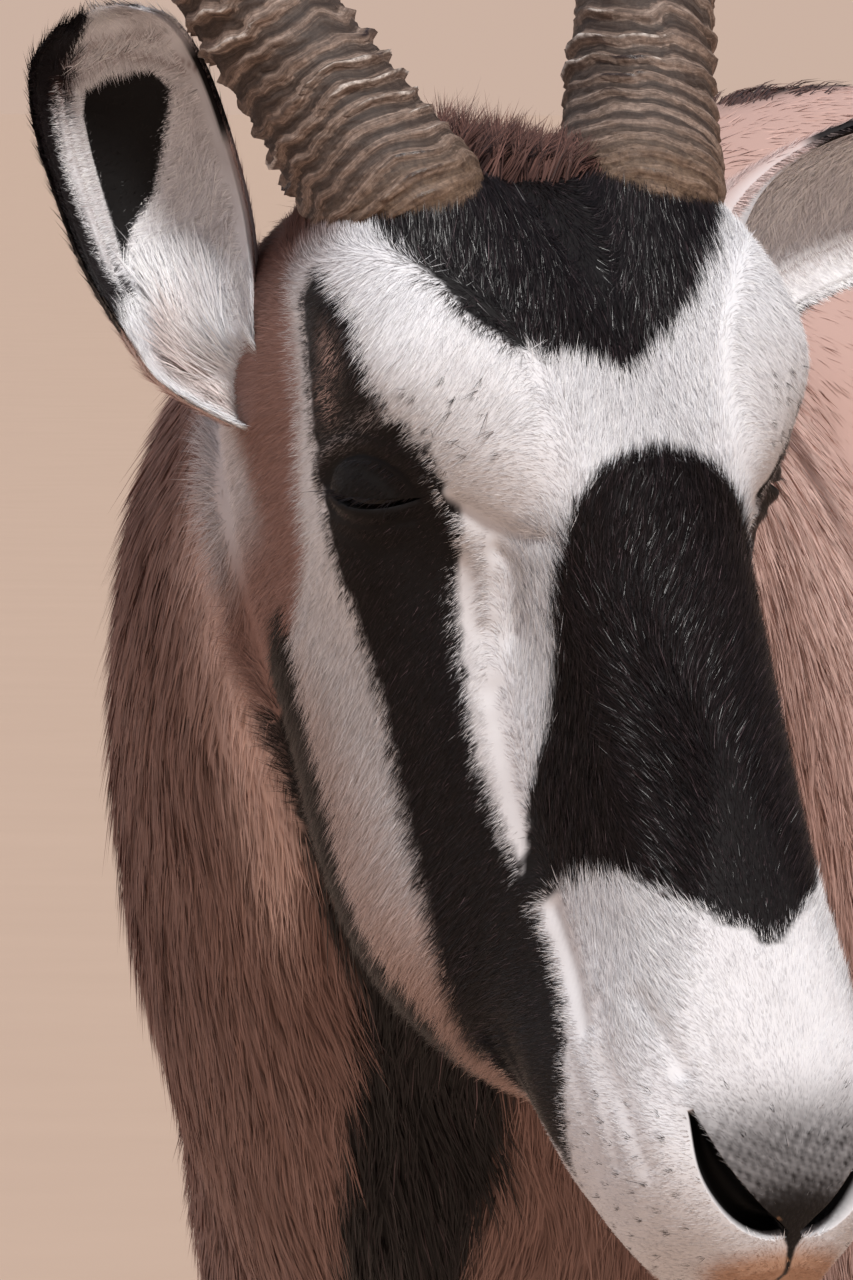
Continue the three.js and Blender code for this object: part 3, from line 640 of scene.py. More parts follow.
def muscled(points, normals):
    """Presses the forms of muscle and bone into the body's skin."""
    x, y, z = points.T
    out = np.zeros(len(points))
    for reach, rise, path in BODY_FORMS:
        away = np.full(len(points), 1e9)
        for at_y, at_z in along_path(path, np.linspace(0, 1, 16)):
            away = np.minimum(away, (y - at_y) ** 2 + (z - at_z) ** 2)
        out += rise * np.exp(-away / reach**2)
    along = y + RIBS["lean"] * (z - 850)
    ribs = np.cos(2 * math.pi * (along - RIBS["first"]) / RIBS["spacing"])
    ribs *= step(RIBS["first"] - 20, RIBS["first"] + 60, along)
    ribs *= 1 - step(RIBS["last"] - 120, RIBS["last"], along)
    ribs *= step(RIBS["low"], RIBS["low"] + 90, z)
    ribs *= 1 - step(RIBS["high"] - 120, RIBS["high"], z)
    out += RIBS["depth"] * (ribs - 1) / 2 * step(60, 120, np.abs(x))
    fore, behind = leg_of(points)
    for at_front, (low, high), place, reach, depth in SHANK_GROOVES:
        between = step(low, low + 25, z) * (1 - step(high - 30, high, z))
        out -= depth * (fore == at_front) * between * bump(behind, place, reach)
    return points + normals * (out * np.abs(normals[:, 0]) * step(20, 50, np.abs(x)))[:, None]


# The parts of the head with finer faces, as opposite corners in its own frame
HEAD_BOX = [-150, -160, -112], [300, 80, 112]
FACE_BOX = [-104, -150, -112], [300, 80, 112]

skin_mesh = fused([
    trunk_loft(COAT["trunk"]),
    neck_loft(COAT["neck"]),
    head_loft(COAT["head"]),
    tail_loft(COAT["tail"]),
    *(leg_loft(*leg, COAT["leg"]) for leg in LEGS.values()),
], VOXEL)
points = points_of(skin_mesh)
points = relax(points, edges_of(skin_mesh), np.ones(len(points)), 7)
upper_body = step(500, 620, points[:, 2]) * step(-330, -260, points[:, 1])
points = relax(points, edges_of(skin_mesh), upper_body, 30)
put_points(skin_mesh, points)
put_points(skin_mesh, muscled(points, normals_of(skin_mesh)))
refine(skin_mesh, lambda p: region(p, *HEAD_BOX))
points = points_of(skin_mesh)
put_points(skin_mesh, relax(points, edges_of(skin_mesh), np.ones(len(points)), 2))
refine(skin_mesh, lambda p: region(p, *FACE_BOX))
refine(skin_mesh, lambda p: around_eyes(p, 32) | nose_or_mouth(p))

# The head's points go onto its own smooth loft
head_tree = tree_of(*head_loft(COAT["head"]))


def far_from_head(points):
    """Distance to the head's loft, and the nearest place on it."""
    distance = np.full(len(points), 400.0)
    nearest = points.copy()
    for i in np.flatnonzero(region(points, [-160, -170, -125], [310, 90, 125])):
        place, _, _, away = head_tree.find_nearest(Vector(points[i]), 60)
        if place is not None:
            distance[i] = away
            nearest[i] = place
    return distance, nearest


points = points_of(skin_mesh)
distance, nearest = far_from_head(points)
held = (1 - step(3, 9, distance))[:, None]
points = lerp(points, nearest, held)
put_points(skin_mesh, points)
points = relax(points, edges_of(skin_mesh), step(0.5, 4, distance), 4)
put_points(skin_mesh, points)

# Lids: the skin swells over each eyeball
LID_RADIUS = 20.6


def soft_max(a, b, reach):
    """The larger of two, rounded where they are close."""
    return (a + b + np.sqrt((a - b) ** 2 + reach**2)) / 2


def in_eye(local, side):
    """Places as along the slit, up over the lid and out of the eye."""
    centre, along, lid_up, out = eye_axes(side)
    return (local - centre) @ np.array([along, lid_up, out]).T


def out_of_eye(place, side):
    """Back from an eye's own frame to the head's."""
    centre, along, lid_up, out = eye_axes(side)
    return place @ np.array([along, lid_up, out]) + centre


local = head_of(points_of(skin_mesh))
for side in SIDES.values():
    eye = in_eye(local, side)
    away = np.linalg.norm(eye, axis=1)
    chosen = (away < 60) & (eye[:, 2] > -4)
    swell = soft_max(away, LID_RADIUS, 2.5) / np.maximum(away, 1)
    share = step(-4, 6, eye[:, 2]) * chosen
    eye = eye * (1 + (swell - 1) * share)[:, None]
    local = np.where(chosen[:, None], out_of_eye(eye, side), local)
put_points(skin_mesh, in_head(local))

# Folds of the head's skin: half width, how far it stands out, and its path as places down the
# face and angles round it
FOLDS = [
    (3.8, -0.9, [(187, 53), (204, 55), (222, 52), (244, 50)]),
    (3.2, -0.6, [(196, 61), (214, 58), (238, 60)]),
    (4, -0.5, [(190, 69), (212, 67), (236, 68)]),
    (5, 0.5, [(192, 46), (212, 45), (236, 43)]),
    (3.6, -1.3, [(192, 39), (204, 35), (218, 32)]),
    (4, -1.8, [(146, 63), (166, 61), (190, 60)]),
    (3, -2, [(12, 50), (23, 42), (34, 32)]),
    (2.6, -1.4, [(28, 45), (37, 42), (48, 46), (56, 50)]),
    (4, 1.2, [(20, 52), (30, 50), (44, 55)]),
    (5, -1.2, [(70, 62), (100, 66), (128, 68)]),
]
# The line of the mouth: its half width and depth, and how far from it the lips roll out
LIPS = {"groove": 1.5, "deep": 3.6, "roll": 4.5}
# The crease over the upper lid, part of an oval round the slit
LID = {"wide": 19.5, "tall": 14.5, "crease": 1.7, "depth": 1.5}
# The slit between the lids, a crescent that bows towards the nose
SLIT = {"half": 19, "low": 4.6, "high": 1.2, "along": 2, "up": 0}


def folded(points, normals):
    """Presses the folds and the line of the mouth into the head's skin."""
    f, u, l = head_of(points).T
    side = np.abs(round_angle(u, l))
    wide = radius_per_degree(u, l)
    out = np.zeros(len(points))
    for reach, rise, path in FOLDS:
        away = np.full(len(points), 1e6)
        for at, turn in along_path(path, np.linspace(0, 1, 24)):
            away = np.minimum(away, (f - at) ** 2 + ((side - turn) * wide) ** 2)
        out += rise * np.exp(-away / reach**2)
    over = over_mouth(f, u)
    mouth = step(MOUTH["corner"] - 2, MOUTH["corner"] + 8, f)
    rolled = 0.9 * bump(np.abs(over), LIPS["roll"], 2.5)
    out += mouth * (rolled - LIPS["deep"] * bump(over, 0, LIPS["groove"]))
    return points + normals * out[:, None]


def creased(local, side):
    """The fold over the upper lid and the rim of the lower one."""
    eye = in_eye(local, side)
    away = np.linalg.norm(eye, axis=1)
    chosen = (away < 34) & (eye[:, 2] > 0)
    x, y = eye[:, 0] - SLIT["along"], eye[:, 1] - SLIT["up"]
    ring = (np.hypot(x / LID["wide"], y / LID["tall"]) - 1) * LID["tall"]
    out = -LID["depth"] * bump(ring, 0, LID["crease"]) * step(-4, 2, y)
    out += 0.9 * bump(ring, 4, 2.2) * step(-2, 3, y)
    below = y + SLIT["low"] * (1 - (x / SLIT["half"]) ** 2)
    within = (1 - step(0.85, 1.05, np.abs(x) / SLIT["half"])) * (y < 0)
    out += within * (0.8 * bump(below, -1.2, 1.1) - 0.9 * bump(below, -5.5, 1.6))
    moved = eye + unit(eye) * (out * chosen)[:, None]
    return np.where(chosen[:, None], out_of_eye(moved, side), local)


points = points_of(skin_mesh)
near_head, _ = far_from_head(points)
face = near_head < 10
points[face] = folded(points, normals_of(skin_mesh))[face]
local = head_of(points)
for side in SIDES.values():
    local = creased(local, side)
put_points(skin_mesh, in_head(local))

skin = new_object("skin", skin_mesh)


def cut(thing, points, faces):
    """Cuts a closed solid out of an object."""
    tool = new_object("tool", new_mesh("tool", points, faces))
    cutter = thing.modifiers.new("cut", "BOOLEAN")
    cutter.operation = "DIFFERENCE"
    cutter.solver = "MANIFOLD"
    cutter.object = tool
    made = applied(thing)
    thing.modifiers.clear()
    thing.data = made
    bpy.data.objects.remove(tool)


def slit_outline(count):
    """The crescent's edge in the eye's own frame, as along and up."""
    x = np.linspace(-1, 1, count)
    low = np.stack([x, -SLIT["low"] * (1 - x**2)], 1)
    high = np.stack([x, -SLIT["high"] * (1 - x**2)], 1)[::-1][1:-1]
    return np.vstack([low, high]) * [SLIT["half"], 1] + [SLIT["along"], SLIT["up"]]


def slit_cutter(side):
    """A closed solid through the skin in the shape of the slit."""
    edge = slit_outline(25)
    rings = [np.column_stack([edge, np.full(len(edge), z)]) for z in (9, 20, 40)]
    return closed_loft(in_head(out_of_eye(np.array(rings).reshape(-1, 3), side)).reshape(3, -1, 3))


# Each nostril is a curved slot from the side of the nose down to its tip: f, u, half width of
# the place, and half the slot's own width
NOSTRIL = [
    [0, 231, 28, 37.5, 1],
    [0.3, 250, 25, 33, 4.7],
    [0.52, 260.5, 21, 25.5, 5.8],
    [0.72, 268.5, 18, 17, 5.4],
    [0.88, 272.5, 16, 8.5, 3.8],
    [1, 274, 15, 2.5, 1],
]


def nostril_cutter(side):
    """A closed solid along a nostril's slot."""
    t = np.linspace(0, 1, 25)
    _, f, u, l, wide = along_table(NOSTRIL, t).T
    centre = np.stack([f, u, side * l], 1)
    way = unit(np.gradient(centre, axis=0))
    out = unit(centre - [225, -20, 0])
    across = unit(np.cross(way, out))
    x, y = ovals(12, wide, 0 * t + 22, 0 * t + 16)
    return closed_loft(in_head(swept(centre, across, out, x, y)))


for side in SIDES.values():
    cut(skin, *slit_cutter(side))
    cut(skin, *nostril_cutter(side))
skin.data.shade_smooth()


# Horns: nearly straight, with uneven wavy rings over their lower part
HORN_ROOT = {"f": -100, "u": 12, "l": 47}
# Radius of the root, depth against width, length inside the head, lean back and bend in degrees,
# the lengths between which a horn is ringed, and the radius of the tube its noise is read on
HORN = {
    "root": 28, "deep": 1.04, "sunk": 32, "back": 5, "bend": 11, "plain": -22, "ringed": 560, "tube": 34,
}
HORN_TAPER = [  # share of the length, radius against the root's
    [0, 1.08],
    [0.03, 0.94],
    [0.08, 0.84],
    [0.3, 0.72],
    [0.6, 0.53],
    [0.85, 0.26],
    [1, 0.05],
]


def horn_path(side, length):
    """Middle of a horn and its direction at lengths along it, in the head's own frame."""
    share = np.maximum(length, 0) / HORN_LENGTH
    bend, swept = math.radians(HORN["bend"]), -math.sin(math.radians(HORN["back"]))
    turn, half = HORN_SPREAD - bend * share, HORN_SPREAD - bend * share / 2
    reach = HORN_LENGTH * share
    place = np.stack([
        HORN_ROOT["f"] - np.cos(half) * reach,
        HORN_ROOT["u"] + swept * reach,
        side * (HORN_ROOT["l"] + np.sin(half) * reach),
    ], 1)
    way = unit(np.stack([-np.cos(turn), swept + 0 * turn, side * np.sin(turn)], 1))
    return place + way * np.minimum(length, 0)[:, None], way


def horn_parts(side, around=60):
    """A horn's points and faces, and for each point its length, its rings' count and crest."""
    length = np.concatenate([
        np.arange(-HORN["sunk"], HORN["ringed"], 1.3),
        np.linspace(HORN["ringed"], HORN_LENGTH, 45),
    ])
    place, way = horn_path(side, length)
    share = np.maximum(length, 0) / HORN_LENGTH
    angle = np.linspace(0, 2 * math.pi, around, endpoint=False)
    turn = np.stack([np.cos(angle), np.sin(angle)], 1)
    grid = np.dstack([
        length[:, None] + 0 * angle,
        HORN["tube"] * turn[None, :, 0] + 0 * length[:, None],
        HORN["tube"] * turn[None, :, 1] + 0 * length[:, None],
    ]).reshape(-1, 3)
    shape = (len(length), around)
    drift = (wobble(grid * [0.5, 1, 1], 58, 31 + side) * 0.4).reshape(shape)
    drift += (wobble(grid, 17, 35 + side) * 0.13).reshape(shape)
    spacing = np.interp(length, [-20, 25, 70, 200, 500], [6, 8, 10.5, 12.5, 16])
    count = np.cumsum(np.gradient(length) / spacing)[:, None] + drift
    skewed = 2 * math.pi * (count + 0.14 * np.sin(2 * math.pi * count))
    wave = 0.5 + 0.5 * np.cos(skewed)
    uneven = 0.72 + 0.52 * wobble(grid * [1, 0.7, 0.7], 36, 41 + side).reshape(shape)
    rising = step(HORN["plain"], HORN["plain"] + 12, length) * (1 - step(380, HORN["ringed"], length))
    height = rising * np.interp(length, [-20, 0, 30, 75, 300], [1.2, 2.2, 3, 3.7, 3.2])
    height = height * (1 - 0.4 * share)
    crest = wave**1.5 * np.clip(uneven, 0.15, 1.2)
    ridge = (crest - 0.25) * height[:, None]
    ripple = wobble(grid * [0.8, 1, 1], 30, 45 + side).reshape(shape)
    ridge += 0.4 * np.cos(2 * math.pi * (3.3 * count + 0.5 * ripple)) * rising[:, None] * (1 - 0.6 * wave)
    scaly = wobble(grid * [2.2, 1, 1], 6, 47 + side).reshape(shape) * rising[:, None]
    radius = HORN["root"] * along_table(HORN_TAPER, share)[:, 1:2] + ridge + 0.28 * scaly
    radius *= np.interp(length, [-HORN["sunk"], -8, 0], [0.5, 0.93, 1])[:, None]
    across = unit(np.cross([0, 1, 0], way))
    rings = place[:, None] + (radius * turn[:, 0])[..., None] * across[:, None]
    rings[..., 1] += radius * turn[:, 1] * HORN["deep"]
    points, faces = closed_loft(in_head(rings))
    marks = np.stack([
        length[:, None] + HORN["sunk"] + 0 * crest,
        count,
        crest * rising[:, None],
    ], -1).reshape(-1, 3)
    ends = [[0, 0, 0], [HORN_LENGTH, 0, 0]]
    return points, faces, np.vstack([marks, ends])


# Ears: a cupped leaf. Share of the length, half width, how far the rims curl forward, and how
# open the cup is
EAR_LENGTH = 148
EAR = [
    [0, 9, 1, 0],
    [0.085, 15, 0.95, 0],
    [0.26, 23, 0.8, 0.3],
    [0.44, 29.5, 0.62, 0.8],
    [0.63, 31.5, 0.5, 1],
    [0.8, 31, 0.42, 1],
    [0.9, 28, 0.36, 0.9],
    [0.96, 23, 0.3, 0.7],
    [1, 14, 0.2, 0.3],
]
EAR_WALL = 3.4
# Root, way of the length and way it faces, in the head's own frame
EAR_POSE = {
    "right": ([-54, -75, -78], [-0.935, 0.26, -0.24], [0.35, 0.78, -0.53]),
    "left": ([-76, -52, 64], [-0.37, 0.13, 0.92], [0.66, 0.68, 0.3]),
}


def ear_axes(name):
    """Root of an ear, the way of its length, the way it faces, and across it."""
    root, along, faces = (np.array(v, float) for v in EAR_POSE[name])
    along = unit(along)
    faces = unit(faces - along * (faces @ along))
    return root, along, faces, np.cross(along, faces)


def ear_surface(name, t, a, inside):
    """Places on an ear at shares of its length and of its width, on its back or in its cup."""
    root, along, faces, across = ear_axes(name)
    _, half, curl, opened = along_table(EAR, t).T
    turn = 1.25 * lerp(0.45, 1.35, curl)
    angle = turn * a
    reach = half * (half / (half + EAR_WALL)) ** inside
    sideways = reach * np.sin(angle) / np.sin(np.minimum(turn, math.pi / 2))
    ahead = half * (0.6 - 0.95 * np.cos(angle)) + 10 * t - 14 * np.sin(math.pi * t)
    ahead = ahead + inside * (EAR_WALL + lerp(half * 0.9, 0, opened))
    place = root + np.outer(t * EAR_LENGTH, along) + np.outer(sideways, across) + np.outer(ahead, faces)
    sunk = 27 * np.clip(1 - t / 0.2, 0, 1) ** 1.5
    return place - np.outer(sunk, [0, 0, np.sign(root[2])])


def ear_parts(name, rows=70, arc=34):
    """An ear's points and faces, and for each point its share of length, of width, and its side."""
    t, a = 1 - (1 - np.linspace(0, 1, rows)) ** 1.5, np.linspace(-1, 1, arc)
    marks = np.vstack([
        [[length, width, 0] for width in a] + [[length, width, 1] for width in a[::-1]]
        for length in t
    ])
    rings = ear_surface(name, marks[:, 0], marks[:, 1], marks[:, 2]).reshape(rows, 2 * arc, 3)
    points, faces = closed_loft(in_head(rings))
    return points, faces, np.vstack([marks, [[0, 0, 0], [1, 0, 0]]])


def ball(rows, around):
    """Rings of a ball of radius 1."""
    tilt = np.linspace(0.02, math.pi - 0.02, rows)[:, None]
    turn = np.linspace(0, 2 * math.pi, around, endpoint=False)[None, :]
    return np.stack([np.sin(tilt) * np.cos(turn), np.sin(tilt) * np.sin(turn), np.cos(tilt) + 0 * turn], -1)


# Hooves: height, front, back and width of each level of a toe
HOOF_LEVELS = [
    [0, -76, 35, 31],
    [12, -72, 36, 31],
    [33, -52, 33, 29],
    [HOOF_HEIGHT, -30, 27, 26],
    [HOOF_HEIGHT + 8, -24, 24, 24],
]
# A toe from above: share of its width, and how far from its front to its back
TOE_OUTLINE = [
    [0, 0], [0.32, 3], [0.62, 17], [0.9, 40], [1, 66], [0.97, 94], [0.72, 108], [0.3, 111], [0, 108],
]
TOE_LENGTH = 111
DEW_CLAW = {"height": 132, "apart": 12, "back": 25, "size": [8, 8, 12]}


def toe_parts(rows, side, lean, toe):
    """One half of a hoof, the outer or the inner toe of a leg."""
    z = np.linspace(0, HOOF_HEIGHT + 8, 34)
    _, front, back, wide = along_table(HOOF_LEVELS, z).T
    _, x, y, _, _ = along_table(rows, HOOF_HEIGHT)[0]
    corners = np.arange(len(TOE_OUTLINE))
    outline = np.array(TOE_OUTLINE) / [1, TOE_LENGTH]
    stops = np.linspace(0, corners[-1], 44)
    outline = np.stack([np.interp(stops, corners, column) for column in outline.T])
    for _ in range(10):
        outline = (np.roll(outline, 1, 1) + outline + np.roll(outline, -1, 1)) / 3
    across, along = outline
    growth = 1 + 0.006 * np.sin(z * 0.9) + 0.004 * np.sin(z * 2.3 + 1)
    middle = np.array([side * x, y + float(step_at(lean, HOOF_HEIGHT)), 0])
    rings = np.stack([
        toe * (HOOF["cleft"] / 2 + across[None, :] * (wide * growth)[:, None]),
        front[:, None] + along[None, :] * (back - front)[:, None],
        z[:, None] + 0 * across,
    ], -1) + middle
    return closed_loft(rings)


def dew_claws(rows, side, lean):
    """The two small claws behind a leg, above its hoof."""
    z = DEW_CLAW["height"]
    _, x, y, _, _ = along_table(rows, z)[0]
    found = []
    for toe in (-1, 1):
        rings = ball(14, 16)[::-1] * DEW_CLAW["size"]
        rings += [side * x + toe * DEW_CLAW["apart"], y + float(step_at(lean, z)) + DEW_CLAW["back"], z - 4]
        found.append(closed_loft(rings))
    return found


# Materials

def linear(colour):
    """A colour of the screen, as shares of red, green and blue, in linear light."""
    c = np.asarray(colour, float)
    return np.where(c <= 0.04045, c / 12.92, ((c + 0.055) / 1.055) ** 2.4)


def opaque(colour):
    """A colour of the screen as a socket holds it."""
    return [*linear(colour), 1]


class Nodes:
    """The nodes of one material, made by short calls."""

    def __init__(self, name, roughness=0.5, specular=0.5):
        self.material = bpy.data.materials.new(name)
        self.material.use_nodes = True
        self.tree = self.material.node_tree
        self.shader = self.tree.nodes["Principled BSDF"]
        self.shader.inputs["Roughness"].default_value = roughness
        self.shader.inputs["Specular IOR Level"].default_value = specular

    def add(self, kind, **inputs):
        node = self.tree.nodes.new(kind)
        for name, value in inputs.items():
            self.put(node, name, value)
        return node

    def put(self, node, name, value):
        socket = node.inputs[name if isinstance(name, int) else name.replace("_", " ")]
        if isinstance(value, bpy.types.NodeSocket):
            self.tree.links.new(value, socket)
        else:
            socket.default_value = value

    def attribute(self, name):
        node = self.add("ShaderNodeAttribute")
        node.attribute_name = name
        return node

    def noise(self, vector, scale, detail=3.0, rough=0.5):
        node = self.add("ShaderNodeTexNoise", Scale=scale, Detail=detail, Roughness=rough)
        self.put(node, "Vector", vector)
        return node.outputs["Fac"]

    def place(self, scale=(1, 1, 1)):
        source = self.add("ShaderNodeTexCoord").outputs["Object"]
        node = self.add("ShaderNodeMapping", Vector=source, Scale=scale)
        return node.outputs["Vector"]

    def ramp(self, value, *stops):
        """Colours at shares of a value."""
        node = self.add("ShaderNodeValToRGB", Fac=value)
        band = node.color_ramp
        while len(band.elements) < len(stops):
            band.elements.new(0.5)
        for element, (at, colour) in zip(band.elements, stops):
            element.position = at
            grey = np.ndim(colour) == 0
            element.color = [colour] * 3 + [1] if grey else opaque(colour)
        return node.outputs["Color"]

    def mix(self, share, a, b, blend="MIX"):
        node = self.add("ShaderNodeMix")
        node.data_type = "RGBA"
        node.blend_type = blend
        for index, value in ((0, share), (6, a), (7, b)):
            self.put(node, index, value)
        return node.outputs[2]

    def times(self, a, b):
        node = self.add("ShaderNodeMath")
        node.operation = "MULTIPLY"
        self.put(node, 0, a)
        self.put(node, 1, b)
        return node.outputs[0]

    def finish(self, colour, rough=None, bump=None, strength=0.3, distance=0.001):
        self.put(self.shader, "Base_Color", colour)
        if rough is not None:
            self.put(self.shader, "Roughness", rough)
        if bump is not None:
            node = self.add("ShaderNodeBump", Height=bump, Strength=strength, Distance=distance)
            self.put(self.shader, "Normal", node.outputs["Normal"])
        return self.material


def give(mesh, name, values):
    """A value for each vertex of a mesh, for its material to read."""
    values = np.asarray(values, np.float32)
    if values.ndim == 1:
        mesh.attributes.new(name, "FLOAT", "POINT").data.foreach_set("value", values)
    elif values.shape[1] == 3:
        mesh.attributes.new(name, "FLOAT_VECTOR", "POINT").data.foreach_set("vector", values.ravel())
    else:
        mesh.attributes.new(name, "FLOAT_COLOR", "POINT").data.foreach_set("color", values.ravel())


def give_coat(mesh, colour):
    """The coat's colours, for the fur and the skin to read."""
    give(mesh, "coat", np.column_stack([colour, np.ones(len(colour))]))


def horn_material():
    """Grey-brown gritty horn, with painted shade in the bottoms of its grooves, worn pale or dark on the
    crests of its rings.
    """
    m = Nodes("horn", roughness=0.5, specular=0.35)
    parts = m.add("ShaderNodeSeparateXYZ", Vector=m.attribute("marks").outputs["Vector"])
    length, count, crest = parts.outputs["X"], parts.outputs["Y"], parts.outputs["Z"]
    patches = m.noise(m.place(), 42, 4, 0.6)
    drift = m.noise(m.place(), 30, 2)
    spread = m.add("ShaderNodeCombineXYZ", X=m.times(count, 4.0), Y=m.times(drift, 3.0))
    lines = m.noise(spread.outputs["Vector"], 1.6, 6, 0.75)
    grit = m.noise(m.place(), 420, 4, 0.7)
    body = m.ramp(lines, (0.3, (0.22, 0.17, 0.15)), (0.48, (0.47, 0.395, 0.35)), (0.66, (0.68, 0.6, 0.55)))
    body = m.mix(m.ramp(grit, (0.35, 0.5), (0.6, 0.0)), body, opaque((0.17, 0.125, 0.11)))
    worn = m.times(m.ramp(crest, (0.74, 0.0), (0.95, 1.0)), m.ramp(patches, (0.46, 0.0), (0.54, 1.0)))
    worn = m.times(worn, m.ramp(grit, (0.35, 0.2), (0.55, 1.0)))
    crests = m.mix(worn, body, opaque((0.82, 0.78, 0.75)))
    dark = m.times(m.ramp(crest, (0.5, 0.0), (0.8, 0.85)), m.ramp(patches, (0.38, 1.0), (0.47, 0.0)))
    crests = m.mix(dark, crests, opaque((0.13, 0.1, 0.12)))
    # painted shade in the bottoms of the grooves between the rings
    groove = m.mix(m.ramp(crest, (0.0, 0.75), (0.07, 0.0)), crests, opaque((0.12, 0.08, 0.065)))
    base = m.ramp(grit, (0.3, (0.3, 0.22, 0.17)), (0.7, (0.56, 0.46, 0.37)))
    colour = m.mix(m.ramp(m.times(length, 1 / 60), (0.3, 0.7), (0.75, 0.0)), groove, base)
    return m.finish(colour, m.ramp(dark, (0.0, 0.6), (0.6, 0.25)), m.mix(0.5, lines, grit), 0.8, 0.0009)


def hoof_material():
    """Dark horn, with faint rings of growth."""
    m = Nodes("hoof", roughness=0.45, specular=0.4)
    rings = m.noise(m.place((1, 1, 14)), 12, 4, 0.6)
    colour = m.ramp(rings, (0.3, (0.08, 0.07, 0.065)), (0.6, (0.15, 0.13, 0.12)), (0.8, (0.26, 0.23, 0.2)))
    return m.finish(colour, m.ramp(rings, (0.3, 0.35), (0.7, 0.6)), rings, 0.4, 0.0008)


def eye_material():
    """A dark, wet eye."""
    m = Nodes("eye", roughness=0.05, specular=0.3)
    veins = m.noise(m.place(), 90, 3, 0.5)
    colour = m.ramp(veins, (0.3, (0.02, 0.014, 0.01)), (0.7, (0.07, 0.04, 0.025)))
    return m.finish(colour)


def fur_material():
    """Fur takes its colour from the coat's markings, and the black of it is glossier."""
    m = Nodes("fur", specular=0.22)
    colour = m.attribute("coat").outputs["Color"]
    return m.finish(colour, m.ramp(colour, (0.01, 0.28), (0.12, 0.75)))


def skin_material():
    """Skin under the coat, and bare and pebbled where the nose is wet."""
    m = Nodes("skin", specular=0.25)
    colour = m.attribute("coat").outputs["Color"]
    wet = m.attribute("wet").outputs["Fac"]
    cells = m.add("ShaderNodeTexVoronoi", Vector=m.place(), Scale=620.0).outputs["Distance"]
    pebbles = m.mix(0.5, cells, m.noise(m.place(), 900, 4, 0.7))
    shade = m.mix(wet, colour, m.ramp(pebbles, (0.3, 1.0), (0.62, 0.45)), "MULTIPLY")
    height = m.mix(wet, [0.5, 0.5, 0.5, 1], pebbles)
    return m.finish(shade, m.ramp(wet, (0.0, 0.7), (1.0, 0.36)), height, 0.7, -0.0007)


horn_finish, hoof_finish, eye_finish = horn_material(), hoof_material(), eye_material()
for name, side in SIDES.items():
    points, faces, marks = horn_parts(side)
    mesh = new_mesh("horn_" + name, points, faces)
    give(mesh, "marks", marks)
    new_object("horn_rings_" + name, mesh, horn_finish, ["horn_" + name])
    rings = out_of_eye(EYE_RADIUS * ball(40, 64), side)
    mesh = new_mesh("eye_" + name, *closed_loft(in_head(rings)))
    new_object("eyeball_" + name, mesh, eye_finish, ["eye_" + name])
for name, leg in LEGS.items():
    for toe, word in ((leg[1], "outer"), (-leg[1], "inner")):
        mesh = new_mesh("toe_" + name + word, *toe_parts(*leg, toe))
        new_object(f"toe_{name}_{word}", mesh, hoof_finish, [f"hoof_{name}_{word}"])
mesh = new_mesh("dew_claws", *joined([claw for leg in LEGS.values() for claw in dew_claws(*leg)]))
new_object("dew_claws", mesh, hoof_finish)

fur_finish, skin_finish = fur_material(), skin_material()
skin.data.materials.clear()
skin.data.materials.append(skin_finish)
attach(skin, "root")
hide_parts("head", "neck", "torso", "tail", *(name + "_leg" for name in LEGS))


# Markings of the coat

# Angles run round the head from the middle of the face, in degrees; places are f.
PATCH = [  # signed angle, lower edge of the black patch between the horns
    [-62, -104], [-46, -80], [-32, -57], [-19, -36], [-8, -25], [1, -16],
    [10, -20], [24, -27], [35, -43], [40, -60], [49, -78], [60, -104],
]
BLAZE_SIDE = [  # place, half angle of the black down the nose
    [6, -12], [12, 3], [14, 12], [20, 19], [32, 26], [43, 30], [57, 35], [75, 40],
    [92, 49], [109, 61], [126, 72], [142, 84], [200, 84],
]
BLAZE_END = [  # signed angle, lower edge of the black across the nose
    [-80, 142], [-57, 142], [-42, 147], [-28, 157], [-12, 173], [-2, 180],
    [7, 174], [17, 167], [28, 157], [42, 147], [57, 142], [80, 142],
]
STRIPE_FRONT = [  # place, angle of the front edge of the stripe through the eye
    [-76, 62], [-60, 57], [-35, 56], [-21, 55], [-5, 51], [9, 51], [19, 52], [27, 58], [43, 65], [69, 71],
    [89, 75], [110, 75], [125, 74], [147, 71], [177, 68], [197, 72], [218, 81], [232, 90],
]
STRIPE_REAR = [  # place, angle of its rear edge
    [-76, 66], [-71, 71], [-59, 74], [-47, 77], [-28, 81], [-15, 84], [4, 87], [28, 92], [57, 99],
    [90, 108], [123, 115], [150, 121], [171, 126], [190, 118], [218, 95], [232, 90],
]
JAW = [  # place, angle where the black line behind the jaw starts
    [0, 116], [15, 117], [40, 124], [72, 130], [99, 134], [126, 135], [148, 133], [170, 135], [186, 140],
]
JAW_BACK = [  # place, angle where that line ends again
    [0, 118], [11, 123], [20, 137], [29, 151], [40, 172], [50, 190], [186, 190],
]
THROAT = [  # how far along the neck, half angle of the black round from its underside
    [0.1, 5], [0.25, 6], [0.43, 7], [0.55, 9], [0.64, 10.5], [0.7, 12], [0.74, 16], [0.78, 22],
    [0.84, 30], [0.9, 38], [1.01, 51], [1.15, 60],
]
